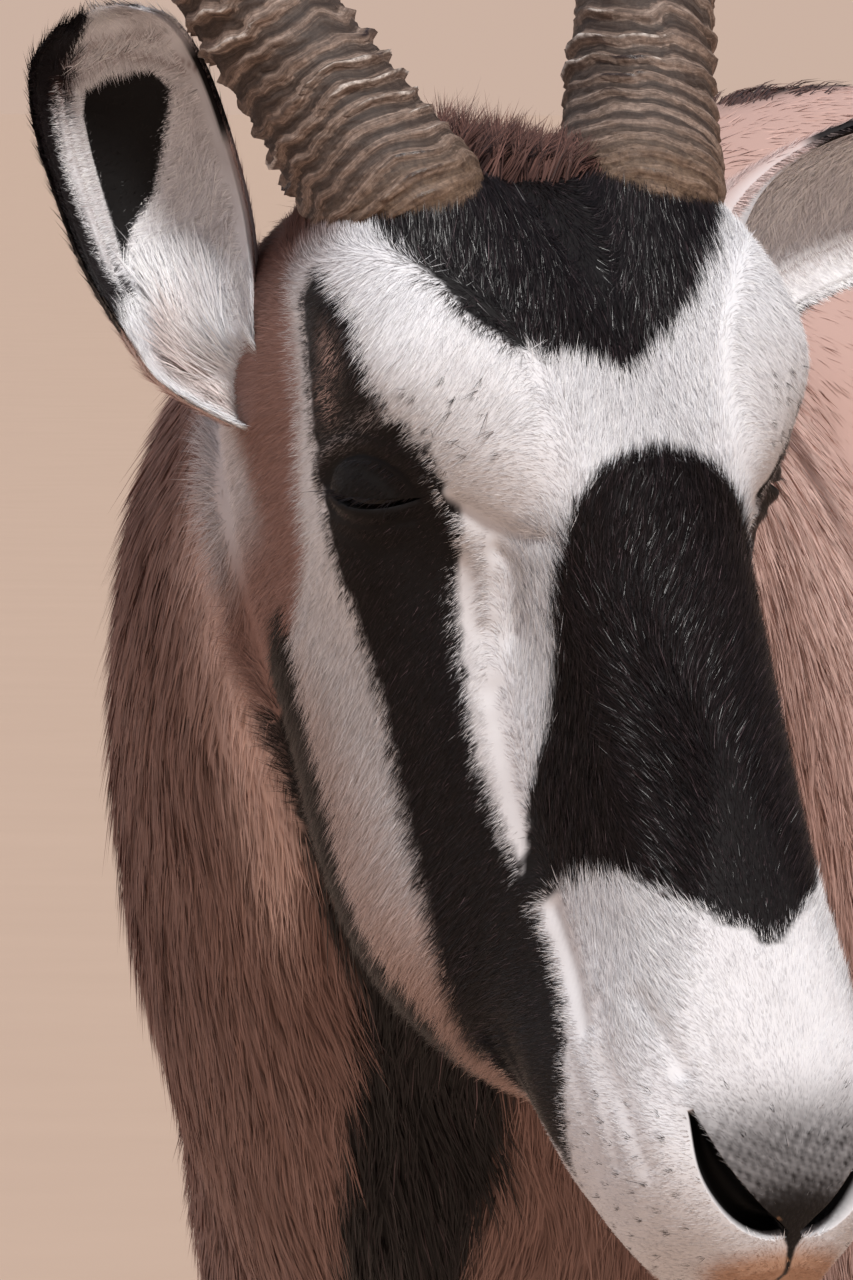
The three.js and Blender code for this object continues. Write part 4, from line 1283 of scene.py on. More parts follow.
# How far along the neck, and degrees round it from its top to the middle of that black
THROAT_MIDDLE = [[0.1, 173], [0.43, 173], [0.64, 176.5], [0.76, 180], [1.15, 180]]
PAINTED_SUN_BAND = [  # angle round from the neck's underside, place along it of the band of painted sunlight behind the jaw
    [26, 0.78], [34, 0.82], [46, 0.88], [61, 0.92], [75, 0.935], [90, 0.95],
]
FLANK = [  # y, height of the lower edge of the black band along the flank
    [0, 664], [100, 652], [300, 640], [500, 644], [640, 664], [760, 720],
]
FLANK_BAND = 58  # how far up from that edge the black reaches
CROUP = {"middle": (0, 885, 1130), "reach": (58, 125, 95)}  # where the back's black line spreads
FUR = {
    "white": (0.9, 0.9, 0.915),
    "grey": (0.66, 0.63, 0.63),
    "buff": (0.8, 0.68, 0.63),
    "fawn": (0.73, 0.59, 0.55),
    "fawn_light": (0.86, 0.75, 0.715),
    "brown": (0.41, 0.29, 0.26),
    "black": (0.085, 0.064, 0.07),
    "skin": (0.105, 0.088, 0.093),
    "tan": (0.72, 0.53, 0.38),
    "deep": (0.03, 0.02, 0.02),
}
PALETTE = {name: linear(colour) for name, colour in FUR.items()}


def tint(colour, name, share):
    """Mixes a named colour of the coat into some colours."""
    return colour + (PALETTE[name] - colour) * np.clip(share, 0, 1)[:, None]


def edge(rows, at):
    """The edge of a marking at places along it."""
    return along_table(rows, at)[:, 1]


OUTSIDE = -20  # how far inside a marking a place counts that it can't reach


def head_black(f, u, l, ragged):
    """How far inside a black marking of the head a place is, in millimetres."""
    angle = round_angle(u, l)
    side = np.abs(angle)
    wide = radius_per_degree(u, l)
    ragged = ragged + wobble(np.stack([f, u, l], 1), 9, 3) * 0.9
    patch = np.where(side > 62, OUTSIDE, edge(PATCH, angle) - f)
    blaze = np.minimum((edge(BLAZE_SIDE, f) - side) * wide, edge(BLAZE_END, angle) - f)
    front, rear = edge(STRIPE_FRONT, f), edge(STRIPE_REAR, f)
    stripe = np.minimum((side - front) * wide, (rear - side) * wide)
    stripe = np.where((f > -78) & (f < 232), stripe, OUTSIDE)
    jaw = np.minimum(side - edge(JAW, f), edge(JAW_BACK, f) - side) * wide
    jaw = np.where((f > 6) & (f < 196), jaw, OUTSIDE)
    jaw = np.minimum(jaw, (f - 10) * 0.6)
    return np.maximum.reduce([patch, blaze, stripe, jaw]) + ragged


# Place down the face, and how far the nostrils' inner edges are from the midline
NOSTRIL_CURVE = [(231, 37), (249, 32), (259, 25), (267, 17), (271, 8), (273, 2)]


def between_nostrils(f, l):
    """How far inside the nostrils' inner edges a place on the nose is."""
    at, reach = np.array(NOSTRIL_CURVE).T
    return np.interp(f, at, reach, right=OUTSIDE) - np.abs(l)


def nose_pad(f, u, l):
    """1 on the bare skin between the nostrils and down the groove to the lip."""
    bare = step(-1, 2, between_nostrils(f, l)) * step(250, 266, f - 0.008 * l**2)
    groove_half = np.interp(f, [270, 275, 279, 284], [6, 1.6, 0.9, 0.6])
    groove = step(0.8, -0.6, np.abs(l) - groove_half) * step(266, 270, f)
    return np.maximum(bare, groove) * (over_mouth(f, u) > 0)


def nose_shade(f, l):
    """How dark the short hair is over the nose, most beside the nostrils."""
    inside = between_nostrils(f, l)
    rim = bump(inside, 4, 3.5) * step(224, 236, f) * (f < 276)
    return np.maximum(step(218, 248, f) * step(-2, 3, inside), 0.75 * rim)


def head_colour(points, ragged):
    """The colour of the coat of the head; ragged moves the edges of its markings."""
    f, u, l = head_of(points).T
    angle = round_angle(u, l)
    side = np.abs(angle)
    colour = np.tile(PALETTE["white"], (len(points), 1))
    noise = wobble(points, 30, 5) + 0.7 * wobble(points, 9, 6)
    colour = tint(colour, "grey", 0.03 + 0.06 * noise + 0.3 * step(80, 110, side) * step(-20, 60, f))
    around_eye = np.exp(-(((f + 6) / 16) ** 2) - ((side - 53) / 8) ** 2)
    colour = tint(colour, "black", 0.6 * around_eye * step(-0.4, 0.8, ragged))
    colour = tint(colour, "buff", 0.6 * step(108, 132, side) * step(-60, 30, f))
    colour = tint(colour, "buff", 0.75 * step(92, 122, side) * step(100, 150, f))
    jaw = step(100, 128, side) * step(120, 175, f) * (1 - step(190, 215, f))
    colour = tint(colour, "brown", 0.35 * jaw)
    # fawn behind the eye and the jaw, and tan at the lip
    behind = side - np.interp(f, [-80, -43, -20, 0, 15, 32], [76, 83, 93, 99, 112, 138])
    fawn = step(-2, 4, behind + 1.2 * ragged) * (f < 50)
    colour = tint(colour, "fawn", fawn)
    colour = tint(colour, "brown", 0.45 * fawn)
    colour = tint(colour, "white", 0.75 * fawn * step(108, 118, side) * step(-5, -40, f))
    colour = tint(colour, "tan", 0.85 * step(272, 279, f + 0.5 * ragged) * (1 - step(35, 60, side)))
    back = step(-70, -96, f)
    colour = tint(colour, "brown", back * step(50, 62, side) * (1 - step(92, 110, side)))
    black = step(-1.6, 1.6, head_black(f, u, l, ragged))
    colour = tint(colour, "black", black)
    # white hairs in the stripe over the eye and by its corner
    flecks = np.exp(-(((f + 49) / 8) ** 2) - ((side - 64) / 3.5) ** 2)
    flecks += np.exp(-(((f + 36) / 8) ** 2) - ((side - 70) / 3.5) ** 2)
    colour = tint(colour, "fawn_light", flecks * (ragged > 0) * 1.1)
    arc = bump(f, -22, 3.5) * step(52, 58, side) * step(84, 76, side)
    colour = tint(colour, "grey", arc * (ragged > 0.5))
    colour = tint(colour, "black", 0.9 * nose_shade(f, l) * (0.9 + 0.1 * wobble(points, 3, 13)))
    return tint(colour, "brown", 0.8 * step(-100, -112, f) * (1 - step(50, 70, side)))


NECK_STOPS = np.linspace(0, NECK_END, 60)


def neck_place(points):
    """How far along the neck a point is, degrees round from the top, and how far out."""
    middle, across, dorsal, way = neck_frame(NECK_STOPS)
    best = np.full(len(points), 1e9)
    found = np.zeros((len(points), 3))
    for i, stop in enumerate(NECK_STOPS):
        from_here = points - middle[i]
        off = np.abs(from_here @ way[i]) + 0.15 * np.linalg.norm(from_here, axis=1)
        nearer = off < best
        best = np.where(nearer, off, best)
        place = np.stack([
            np.full(len(points), stop),
            np.degrees(np.arctan2(from_here @ across[i], from_here @ dorsal[i])) % 360,
            np.hypot(from_here @ across[i], from_here @ dorsal[i]),
        ], 1)
        found = np.where(nearer[:, None], place, found)
    return found.T


def from_crest(turn, out):
    """How far round the neck a place is from the line along its top."""
    return np.minimum(turn, 360 - turn) * out * math.pi / 180


def neck_share(points):
    """1 on the neck, and 0 behind the shoulder."""
    return step(-60, -130, points[:, 1] + 0.25 * (points[:, 2] - 900))


def neck_colour(colour, points, along, turn, on_neck):
    """Painted shade on the animal's right and below, painted light on its left, and a band of painted
    sunlight behind the jaw.
    """
    under = np.abs(turn - 180)
    # painted shade: browner on the animal's right and underneath
    dark = 0.6 * step(80, 20, turn - 180)
    colour = tint(colour, "brown", 0.08 + 0.04 * wobble(points, 160, 10) + on_neck * dark)
    # painted light: paler high on the animal's left
    colour = tint(colour, "fawn_light", 0.7 * on_neck * step(60, 95, turn - 180))
    # a band of painted sunlight behind the jaw, on both sides
    patch = bump(along, edge(PAINTED_SUN_BAND, under), 0.058) * step(20, 30, under) * step(98, 80, under)
    return tint(colour, "fawn_light", patch * (0.95 + 0.3 * wobble(points, 22, 12)))


def flank_colour(colour, y, z, ragged, wander):
    """White belly under a black band along each flank."""
    belly_top = edge(FLANK, y)
    sides = step(30, 80, y) * (1 - step(735, 765, y))
    band = step(-3, 3, belly_top + FLANK_BAND + wander - z) * sides
    belly = step(-3, 3, belly_top - z + ragged) * step(-40, 0, y) * (1 - step(745, 790, y))
    return tint(tint(colour, "black", band), "white", belly)


def leg_colour(colour, points, ragged, wander):
    """Black upper legs, white below with a dark spot before each shank."""
    x, y, z = points.T
    fore, behind = leg_of(points)
    low = np.where(fore, 468, 478) - 0.12 * behind
    fore_top = 712 - 0.006 * (y - 20) ** 2
    hind_top = np.minimum(770 - 0.55 * (y - 760), 690 + 1.6 * (y - 640))
    beside = np.abs(x) > np.where(z > 600, 60, 0)
    upper = step(-4, 4, np.where(fore, fore_top, hind_top) + wander - z)
    upper = upper * step(-4, 4, z - low + 0.6 * wander) * beside
    reach = np.where(fore, step(130, 115, np.abs(y - 10)), step(640, 660, y))
    colour = tint(colour, "white", step(-4, 4, low + 4 - z + 0.6 * wander))
    colour = tint(colour, "black", upper * reach)
    inner = step(4, -4, np.abs(x) - np.where(fore, 96, 100) + ragged)
    colour = tint(colour, "white", 0.95 * inner * step(-30, 10, 640 - z))
    spot = bump(z, 285, 52) * step(2, 9, -behind + 4 * bump(z, 285, 30)) * (z < 400)
    colour = tint(colour, "black", step(0.3, 0.5, spot + 0.04 * ragged))
    return tint(colour, "brown", 0.6 * step(88, 70, z))


def back_colour(colour, points, ragged):
    """Black line along the back, spreading over the croup, a pale rump and a black tail."""
    x, y, z = points.T
    above = z - np.interp(y, [0, 500, 960, 1010], [1080, 1060, 1020, 1000])
    line = (np.interp(y, [0, 500, 800], [7, 9, 14]) - np.abs(x)) * (y < 1000)
    croup = (1 - np.linalg.norm((points - CROUP["middle"]) / CROUP["reach"], axis=1)) * 55
    back = step(-4, 4, np.maximum(line, croup) + ragged) * step(-40, 20, y) * step(0, 20, above)
    colour = tint(colour, "black", back)
    rump = step(900, 990, y) * (1 - back) * step(600, 700, z) * (1 - step(1040, 1100, z))
    colour = tint(colour, "fawn_light", 0.9 * rump)
    return tint(colour, "black", step(1008, 1022, y) * (1 - step(34, 44, np.abs(x))))


def body_colour(points, ragged):
    """The colour of the coat behind the head; ragged moves the edges of its markings."""
    _, y, z = points.T
    along, turn, out = neck_place(points)
    turn = 360 - turn  # more than 180 on the animal's left
    on_neck = neck_share(points)
    wander = ragged + wobble(points, 60, 8) * 5
    colour = np.tile(PALETTE["fawn"], (len(points), 1))
    low_side = 0.4 * (1 - step(720, 980, z))
    colour = tint(colour, "fawn_light", 0.2 + low_side + 0.1 * wobble(points, 500, 9))
    colour = neck_colour(colour, points, along, turn, on_neck)
    colour = flank_colour(colour, y, z, ragged, wander)
    colour = leg_colour(colour, points, ragged, wander)
    colour = back_colour(colour, points, ragged)
    # dark line along the top of the neck under the mane, and the black of the throat
    colour = tint(colour, "brown", step(34, 12, from_crest(turn, out) + ragged) * on_neck * 0.9)
    inside = (edge(THROAT, along) - np.abs(turn - edge(THROAT_MIDDLE, along))) * out * math.pi / 180
    return tint(colour, "black", step(-3, 3, inside + ragged) * on_neck * step(0.1, 0.2, along))


def coat_colour(points, headness, ragged=0.0):
    return lerp(body_colour(points, ragged), head_colour(points, ragged), headness[:, None])


# The coat: tapered blades of mesh that leave the skin and lie along it

def blades(roots, normals, lies, length, width, lift, bend, segments, bow=0.0):
    """Points and faces of flat tapered blades, each with its points from root to tip.

    lift is the angle at which a blade leaves the skin and bend the one at its tip, in degrees;
    bow turns it sideways."""
    n = len(roots)
    across = unit(np.cross(normals, lies))
    roll = rng.normal(0, 0.45, n).clip(-1.2, 1.2)[:, None]
    turn = rng.normal(0, 1, n)[:, None] * np.reshape(bow, (-1, 1))
    flat = across * np.cos(roll) + normals * np.sin(roll)
    length, width = np.broadcast_to(length, n)[:, None], np.broadcast_to(width, n)[:, None]
    place = roots - normals * np.minimum(0.6, 0.1 * length)
    lift, bend = (np.radians(np.broadcast_to(v, n))[:, None] for v in (lift, bend))
    rows = []
    for k in range(segments):
        t = k / segments
        half = flat * width * (1 - 0.75 * t**1.5) / 2
        rows += [place - half, place + half]
        rise = lerp(lift, bend, (k + 0.5) / segments)
        way = lies * np.cos(rise) + normals * np.sin(rise) + across * turn * (k + 0.5) / segments
        place = place + unit(way) * length / segments
    points = np.stack([*rows, place], 1)
    corners = [(2 * k + 1, 2 * k, 2 * k + 3) for k in range(segments - 1)]
    corners += [(2 * k + 3, 2 * k, 2 * k + 2) for k in range(segments - 1)]
    corners.append((2 * segments - 1, 2 * segments - 2, 2 * segments))
    each = 2 * segments + 1
    faces = (np.arange(n)[:, None, None] * each + np.array(corners)[None]).reshape(-1, 3)
    facing = unit(np.cross(flat, unit(points[:, -1] - points[:, 0])))
    facing *= np.sign((facing * normals).sum(1, keepdims=True))
    shading = unit(normals * 0.62 + facing * 0.38 + rng.normal(0, 0.1, (n, 3)))
    return points, faces, shading


MOST_FACES = 190000


def coat_piece(name, blade, root_colour, tip_colour, slot, material, unwrap):
    """One piece of the coat, or several, each with no more than MOST_FACES faces."""
    points, faces, shading = blade
    n, each = points.shape[:2]
    per = len(faces) // n
    most = MOST_FACES // per
    share = np.repeat(np.linspace(0, 1, each // 2 + 1), 2)[: each]
    for part, start in enumerate(range(0, n, most)):
        some = slice(start, min(start + most, n))
        count = some.stop - some.start
        mesh = new_mesh(name, points[some].reshape(-1, 3), faces[: count * per])
        colour = lerp(root_colour[some, None], tip_colour[some, None], share[None, :, None])
        give_coat(mesh, colour.reshape(-1, 3))
        give(mesh, "custom_normal", np.repeat(shading[some], each, 0))
        spot = unwrap[some, None] + rng.uniform(-0.0015, 0.0015, (count, each, 2))
        mesh.uv_layers.new(name="OFBake")
        flat = spot.reshape(-1, 2)[faces[: count * per].ravel()]
        mesh.uv_layers["OFBake"].data.foreach_set("uv", flat.astype(np.float32).ravel())
        label = name if n <= most else f"{name}_{part + 1}"
        new_object(label, mesh, material)


def scatter(points, faces, weight, count):
    """Random places on faces, as the faces' numbers and the share of each corner."""
    corners = points[faces]
    area = np.linalg.norm(np.cross(corners[:, 1] - corners[:, 0], corners[:, 2] - corners[:, 0]), axis=1)
    total = np.cumsum(area * weight)
    chosen = np.searchsorted(total, rng.uniform(0, total[-1], count))
    chosen = np.minimum(chosen, len(faces) - 1)
    a, b = np.sqrt(rng.uniform(0, 1, count)), rng.uniform(0, 1, count)
    return faces[chosen], np.stack([1 - a, a * (1 - b), a * b], 1)


def at_corners(values, corners, share):
    """A value of the skin's points at places on its faces."""
    return np.einsum("ij,ij...->i...", share, values[corners])


# The way the coat lies on the head: place down the face, angle round it, and the way as
# steps towards the nose and away from the middle of the face
HEAD_LIE = [
    (-95, 0, 1, 0.1), (-60, 20, 1, 0.35), (-60, 48, 0.8, 0.6), (-30, 5, 1, 0.2), (-22, 30, 0.9, 0.7),
    (-5, 55, 0.3, 1), (15, 8, -1, 0.5), (20, 35, -0.8, 0.9), (80, 0, -1, 0.1), (80, 40, -0.9, 0.6),
    (140, 0, -1, 0.1), (140, 40, -0.9, 0.6), (200, 0, -1, 0.15), (200, 40, -0.8, 0.7),
    (245, 10, -0.8, 0.5), (235, 60, -0.7, 0.8), (265, 40, -0.5, 0.9), (262, 85, -0.3, 1),
    (20, 70, 0.5, 1), (60, 75, 0.5, 0.9), (60, 95, 0.5, 0.9), (110, 85, 0.3, 1), (110, 105, 0.3, 1),
    (170, 90, -0.1, 1), (205, 100, -0.3, 1), (60, 125, 0.4, 1), (130, 130, 0.2, 1), (-30, 80, -0.2, 1),
    (-30, 110, 0.1, 1), (-80, 70, -0.6, 0.9), (-80, 110, -0.2, 1), (230, 120, -0.9, 0.2),
    (250, 150, -1, 0.1), (150, 165, -1, 0.1), (50, 165, -0.8, 0.5),
]


def head_lie(points):
    """The way the coat lies on the head, and away from the root of each horn."""
    f, u, l = head_of(points).T
    side = np.abs(round_angle(u, l))
    total = np.zeros((len(points), 2))
    for at, turn, ahead, outward in HEAD_LIE:
        near = np.exp(-(((f - at) / 26) ** 2) - ((side - turn) / 20) ** 2) + 1e-9
        total += near[:, None] * unit(np.array([ahead, outward], float))
    outward = unit(np.stack([np.zeros(len(f)), -np.abs(l), np.sign(l) * (u + AXIS_DEPTH)], 1))
    total[:, 1] *= np.abs(np.tanh(l / 9))
    ways = total[:, :1] * [1.0, 0, 0] + total[:, 1:] * outward
    for side in SIDES.values():
        radial, away = from_horn(np.stack([f, u, l], 1), side)
        close = step(46, 31, away)[:, None]
        ways = lerp(unit(ways), -0.7 * radial + [-0.8, 0, 0], close)
    return ways @ HEAD_AXES


def from_horn(local, side):
    """The way out from a horn's axis and the distance from it."""
    foot, way = horn_path(side, np.zeros(1))
    off = local - foot
    off = off - (off @ way[0])[:, None] * way
    away = np.linalg.norm(off, axis=1)
    return off / away[:, None], away


def body_lie(points):
    """Back and down over the neck and trunk, and straight down the legs."""
    _, y, z = points.T
    along, _, _ = neck_place(points)
    _, _, _, way = neck_frame(NECK_STOPS)
    last = len(NECK_STOPS) - 1
    ahead = way[np.clip((along / NECK_END * last).astype(int), 0, last)]
    down = np.tile([0.0, 0, -1], (len(points), 1))
    on_neck = step(-60, -160, y)[:, None]
    neck = down - ahead * 0.55
    trunk = down * 0.75 + np.array([0, 0.8, 0])
    leg = down + np.array([0, 0.12, 0])
    low = step(700, 600, z)[:, None]
    return lerp(lerp(trunk, neck, on_neck), leg, low * (1 - on_neck))


def about_one(n, spread):
    """Random factors about 1."""
    return np.exp(rng.normal(0, spread, n))


def combed(ways, normals, spread):
    """Ways along the skin, each a little off the ones beside it."""
    ways = ways + rng.normal(0, spread, ways.shape)
    return unit(ways - normals * (ways * normals).sum(1, keepdims=True))


# Where each kind of coat grows

skin.data.calc_loop_triangles()
skin_faces = read(skin.data.loop_triangles, "vertices", 3, np.int32)
skin_points = points_of(skin.data)
skin_normals = normals_of(skin.data)
skin_local = head_of(skin_points)
distance, nearest = far_from_head(skin_points)
outward = unit(head_of(nearest) * [0, 1, 1] + [0, AXIS_DEPTH, 0])
# how deep each point lies inside the head's own loft, as in a nostril or between the lids
sunk = ((head_of(nearest) - skin_local) * outward).sum(1) * (distance < 60)
face_front = (skin_local[:, 0] > -70) & (skin_local[:, 1] > -40) & (distance < 60)
# 1 on the head, and less down the neck, where the body's markings take over
headness = np.maximum(1 - step(4, 14, distance), face_front)


def slit_share(local):
    """1 in the slits of the eyes, where nothing grows."""
    bare = np.zeros(len(local))
    for side in SIDES.values():
        eye = in_eye(local, side)
        x = (eye[:, 0] - SLIT["along"]) / SLIT["half"]
        y = eye[:, 1] - SLIT["up"]
        bow = 1 - x**2
        within = (np.abs(x) < 1.05) & (y < 1 - SLIT["high"] * bow) & (y > -1 - SLIT["low"] * bow)
        bare = np.maximum(bare, within & (np.abs(eye[:, 2] - 12) < 14))
    return bare


def lid_share(local):
    """1 on the upper lids, which are almost bare."""
    lid = np.zeros(len(local))
    for side in SIDES.values():
        eye = in_eye(local, side)
        away = np.linalg.norm(eye, axis=1)
        lid = np.maximum(lid, (away < LID_RADIUS + 1.2) * step(-8, -2, eye[:, 1]) * (eye[:, 2] > 0))
    return lid


f, u, l = skin_local.T
bare = np.maximum(slit_share(skin_local), nose_pad(f, u, l)) * headness
lids = lid_share(skin_local)
on_neck = neck_share(skin_points) * (1 - headness)
on_leg = step(690, 610, skin_points[:, 2]) * (1 - on_neck) * (1 - headness)
on_trunk = (1 - on_neck) * (1 - headness) * (1 - on_leg)

wet = nose_pad(f, u, l) * headness
base = coat_colour(skin_points, headness)
base = lerp(base, PALETTE["skin"], np.maximum(wet, slit_share(skin_local))[:, None])
crust = step(0.9, 1.5, wobble(skin_local, 5, 71) + 0.6 * wobble(skin_local, 12, 72)) * step(262, 272, f)
base = tint(base, "tan", 0.8 * crust * wet)
painted_mouth_shade = (f > MOUTH["corner"]) * bump(over_mouth(f, u), 0, 1.6) * headness
# painted shade inside the nostrils and the slits of the eyes, and along the groove of the mouth; the lids
# are darkened in their own colour
base = tint(base, "deep", np.maximum.reduce([step(1.2, 3.2, sunk), painted_mouth_shade, 0.7 * lids]))
under_coat = lerp(0.5, 0.95, step(0.01, 0.1, base.mean(1)))[:, None]
give_coat(skin.data, base * under_coat)
give(skin.data, "wet", wet)


def sown(weight, count):
    """Roots, normals and headness of blades sown on the skin by a weight of its points."""
    corners, share = scatter(skin_points, skin_faces, weight[skin_faces].min(1), count)
    roots = at_corners(skin_points, corners, share)
    normals = unit(at_corners(skin_normals, corners, share))
    return roots, normals, at_corners(headness, corners, share)


def head_spot(local):
    """Place on the unwrap of the head, by how far down the face and how far round."""
    turn = np.arctan2(local[:, 2], local[:, 1] + AXIS_DEPTH) / (2 * math.pi) + 0.5
    return 0.02 + 0.96 * np.stack([np.clip((local[:, 0] + 150) / 450, 0, 1), turn], 1)


def body_spot(points):
    """Place on the unwrap of the body: round the trunk and neck, or round each leg."""
    x, y, z = points.T
    trunk = 0.02 + 0.96 * np.stack([
        0.64 * np.clip((y + 500) / 1600, 0, 1),
        np.arctan2(x, z - 880) / (2 * math.pi) + 0.5,
    ], 1)
    fore, behind = leg_of(points)
    column = 0.66 + 0.08 * (x > 0) + 0.16 * fore
    turn = np.arctan2(np.abs(x) - 110, behind) / (2 * math.pi) + 0.5
    leg = np.stack([column + 0.07 * turn, 0.02 + 0.96 * np.clip(z / 720, 0, 1)], 1)
    return np.where((z < 650)[:, None], leg, trunk)


def dyed(roots, headness, shade, ragged, dark):
    """Colours of blades at their roots and tips, most uneven where the coat is black, partly as painted
    glints.

    shade is how uneven they are, ragged how far they wander over the edges of the markings in
    millimetres, and dark how bright the roots are next to the tips, which paints shade deep in the coat."""
    n = len(roots)
    colour = coat_colour(roots, headness, rng.normal(0, ragged, n))
    blackness = step(0.1, 0.02, colour.mean(1))
    colour = colour * np.exp(rng.normal(0, 1, n) * lerp(shade, 0.6, blackness))[:, None]
    # one black blade in ten is made five times brighter: a painted glint
    colour = colour * (1 + 4 * blackness * (rng.uniform(0, 1, n) < 0.1))[:, None]
    # darker roots and lighter tips: painted shade deep in the coat
    return colour * lerp(dark, 0.35, blackness)[:, None], np.clip(colour * 1.08, 0, 0.95)


# How many blades each part of the coat has
BLADES = {"face": 425000, "neck": 112000, "trunk": 140000, "legs": 60000, "poll": 14000, "mane": 9000}


def whisker_spots():
    """Dark spots that whiskers grow from, on the lips, the chin, the nose and over the eyes."""
    draw = np.random.default_rng(21)
    spots = []
    for side in SIDES.values():
        for row in range(6):
            for f in np.arange(222 - 3 * row, 280, 8.5):
                spots.append([f + 4 * (row % 2), side * (42 + 9 * row)])
        for f in np.arange(214, 262, 9.5):
            spots += [[f + draw.uniform(-2, 2), side * turn] for turn in (118, 134, 152)]
        for f in np.arange(-24, 4, 6.5):
            spots += [[f + draw.uniform(-2, 2), side * turn] for turn in (37, 43, 49)]
        spots += [[f, side * turn] for f, turn in ((236, 8), (242, 17), (228, 20), (246, 4))]
    spots = np.array(spots) + draw.normal(0, 0.8, (len(spots), 2))
    f, u, l = skin_local.T
    turn, wide = round_angle(u, l), radius_per_degree(u, l)
    outside = (headness > 0.9) & (sunk < 0.8)
    found = []
    for at, angle in spots:
        away = (f - at) ** 2 + ((turn - angle) * wide) ** 2 + 1e6 * ~outside
        found.append(np.argmin(away))
    found = np.array(found)
    return found[(bare[found] < 0.5) & (np.abs(over_mouth(f[found], u[found])) > 5)]


def tree_at(places):
    """Finds the nearest of some places."""
    tree = KDTree(len(places))
    for i, place in enumerate(places):
        tree.insert(place, i)
    tree.balance()
    return tree


def near_spots(roots, spots, reach):
    """1 on the roots that are within reach of a spot."""
    tree = tree_at(skin_points[spots])
    f, u, _ = head_of(roots).T
    asked = (f > 190) | ((f > -40) & (f < 14) & (u > 10))
    near = np.zeros(len(roots))
    for i in np.flatnonzero(asked):
        near[i] = tree.find(roots[i])[2] < reach
    return near


def grow_face(spots):
    """The short coat of the head, dark where whiskers leave it."""
    side = np.abs(round_angle(skin_local[:, 1], skin_local[:, 2]))
    weight = headness * (1 - bare) * (1 - 0.1 * lids) * (1 - 0.45 * step(125, 150, side))
    weight *= (1 - 0.6 * nose_shade(skin_local[:, 0], skin_local[:, 2])) * (sunk < 1.5)
    roots, normals, share = sown(weight, BLADES["face"])
    local = head_of(roots)
    f, u, l = local.T
    angle = np.abs(round_angle(u, l))
    near_horn = np.maximum.reduce([step(42, 30, from_horn(local, side)[1]) for side in SIDES.values()])
    length = 4.6 + 1.8 * step(-10, -60, f) - 1.6 * step(215, 250, f) + 3 * near_horn
    length += 3 * step(70, 110, angle) * step(210, 160, f) + 5 * step(115, 140, angle) * step(230, 180, f)
    length *= about_one(len(f), 0.18) * (1 - 0.35 * lid_share(local))
    lies = combed(head_lie(roots), normals, 0.14)
    lift = rng.normal(11, 4, len(f)) + 24 * near_horn
    blade = blades(roots, normals, lies, length, 0.38, lift, 8, 1)
    spotted = near_spots(roots, spots, 1.1)
    colours = []
    for colour, shown in zip(dyed(roots, share, 0.15, 1.4, 0.7), (0.9, 0.8)):
        colour = tint(colour, "deep", 0.7 * lid_share(local))
        colours.append(tint(colour, "black", spotted * shown))
    coat_piece("coat_face", blade, *colours, "face_coat", fur_finish, head_spot(local))


def tufted(name, roots, normals, lies, length, width, lift, bend, segments, colours, slot, bow=0.1):
    """A piece of longer hair with colours of its own, whose spots on the unwrap are the skin's."""
    blade = blades(roots, normals, lies, length, width, lift, bend, segments, bow)
    local = head_of(roots)
    on_head = (np.abs(local[:, 2]) < 130) & (local[:, 0] > -150) & (local[:, 1] > -170)
    spot = np.where(on_head[:, None], head_spot(local), body_spot(roots))
    dark = colours * about_one(len(roots), 0.2)[:, None]
    # roots darker and tips lighter: painted shade deep in the hair
    coat_piece(name, blade, dark * 0.7, np.clip(dark * 1.15, 0, 0.95), slot, fur_finish, spot)


def grow_whiskers(spots):
    """A few stiff hairs from each dark spot."""
    chosen = np.repeat(spots, 2)
    roots, normals = skin_points[chosen], skin_normals[chosen]
    n = len(roots)
    local = head_of(roots)
    lies = combed(head_lie(roots), normals, 0.35)
    length = np.where(local[:, 0] > 190, 3.4, 8) * about_one(n, 0.4)
    colours = np.tile(PALETTE["black"], (n, 1))
    colours[rng.uniform(0, 1, n) < 0.35] = PALETTE["grey"]
    tufted("whiskers", roots, normals, lies, length, 0.2, rng.normal(35, 8, n), 12, 3, colours, "face_coat")


def grow_lashes():
    """Lashes along the edge of each upper lid."""
    roots, normals, lies = [], [], []
    for side in SIDES.values():
        _, along, lid_up, out = eye_axes(side)
        for x in 0.9 - 1.7 * rng.uniform(0, 1, 46) ** 0.6:
            flat = np.array([x * SLIT["half"] + SLIT["along"], -SLIT["high"] * (1 - x * x) + 0.8, 0])
            flat[2] = math.sqrt(max(LID_RADIUS**2 - flat[0] ** 2 - flat[1] ** 2, 20))
            roots.append(out_of_eye(flat, side))
            normals.append(out + 0.2 * lid_up)
            lies.append(-0.35 * lid_up + along * (-0.5 + 0.5 * x + rng.normal(0, 0.15)))
    roots = in_head(np.array(roots))
    normals, lies = unit(np.array(normals) @ HEAD_AXES), unit(np.array(lies) @ HEAD_AXES)
    n = len(roots)
    colours = np.tile(PALETTE["black"], (n, 1))
    length = 7 * about_one(n, 0.25)
    tufted("lashes", roots, normals, lies, length, 0.3, 55, 15, 3, colours, "face_coat")


def clumped(roots, lies, length, spacing, gather):
    """Ways that draw the tips of blades together in locks, and the lock of each."""
    n = max(int(len(roots) / spacing), 1)
    leaders = rng.choice(len(roots), n, replace=False)
    tree = tree_at(roots[leaders])
    lock = np.array([tree.find(root)[1] for root in roots])
    leader = leaders[lock]
    tips = roots[leader] + lies[leader] * length[:, None]
    target = tips + (roots - roots[leader]) * (1 - gather)
    return unit(target - roots), lock


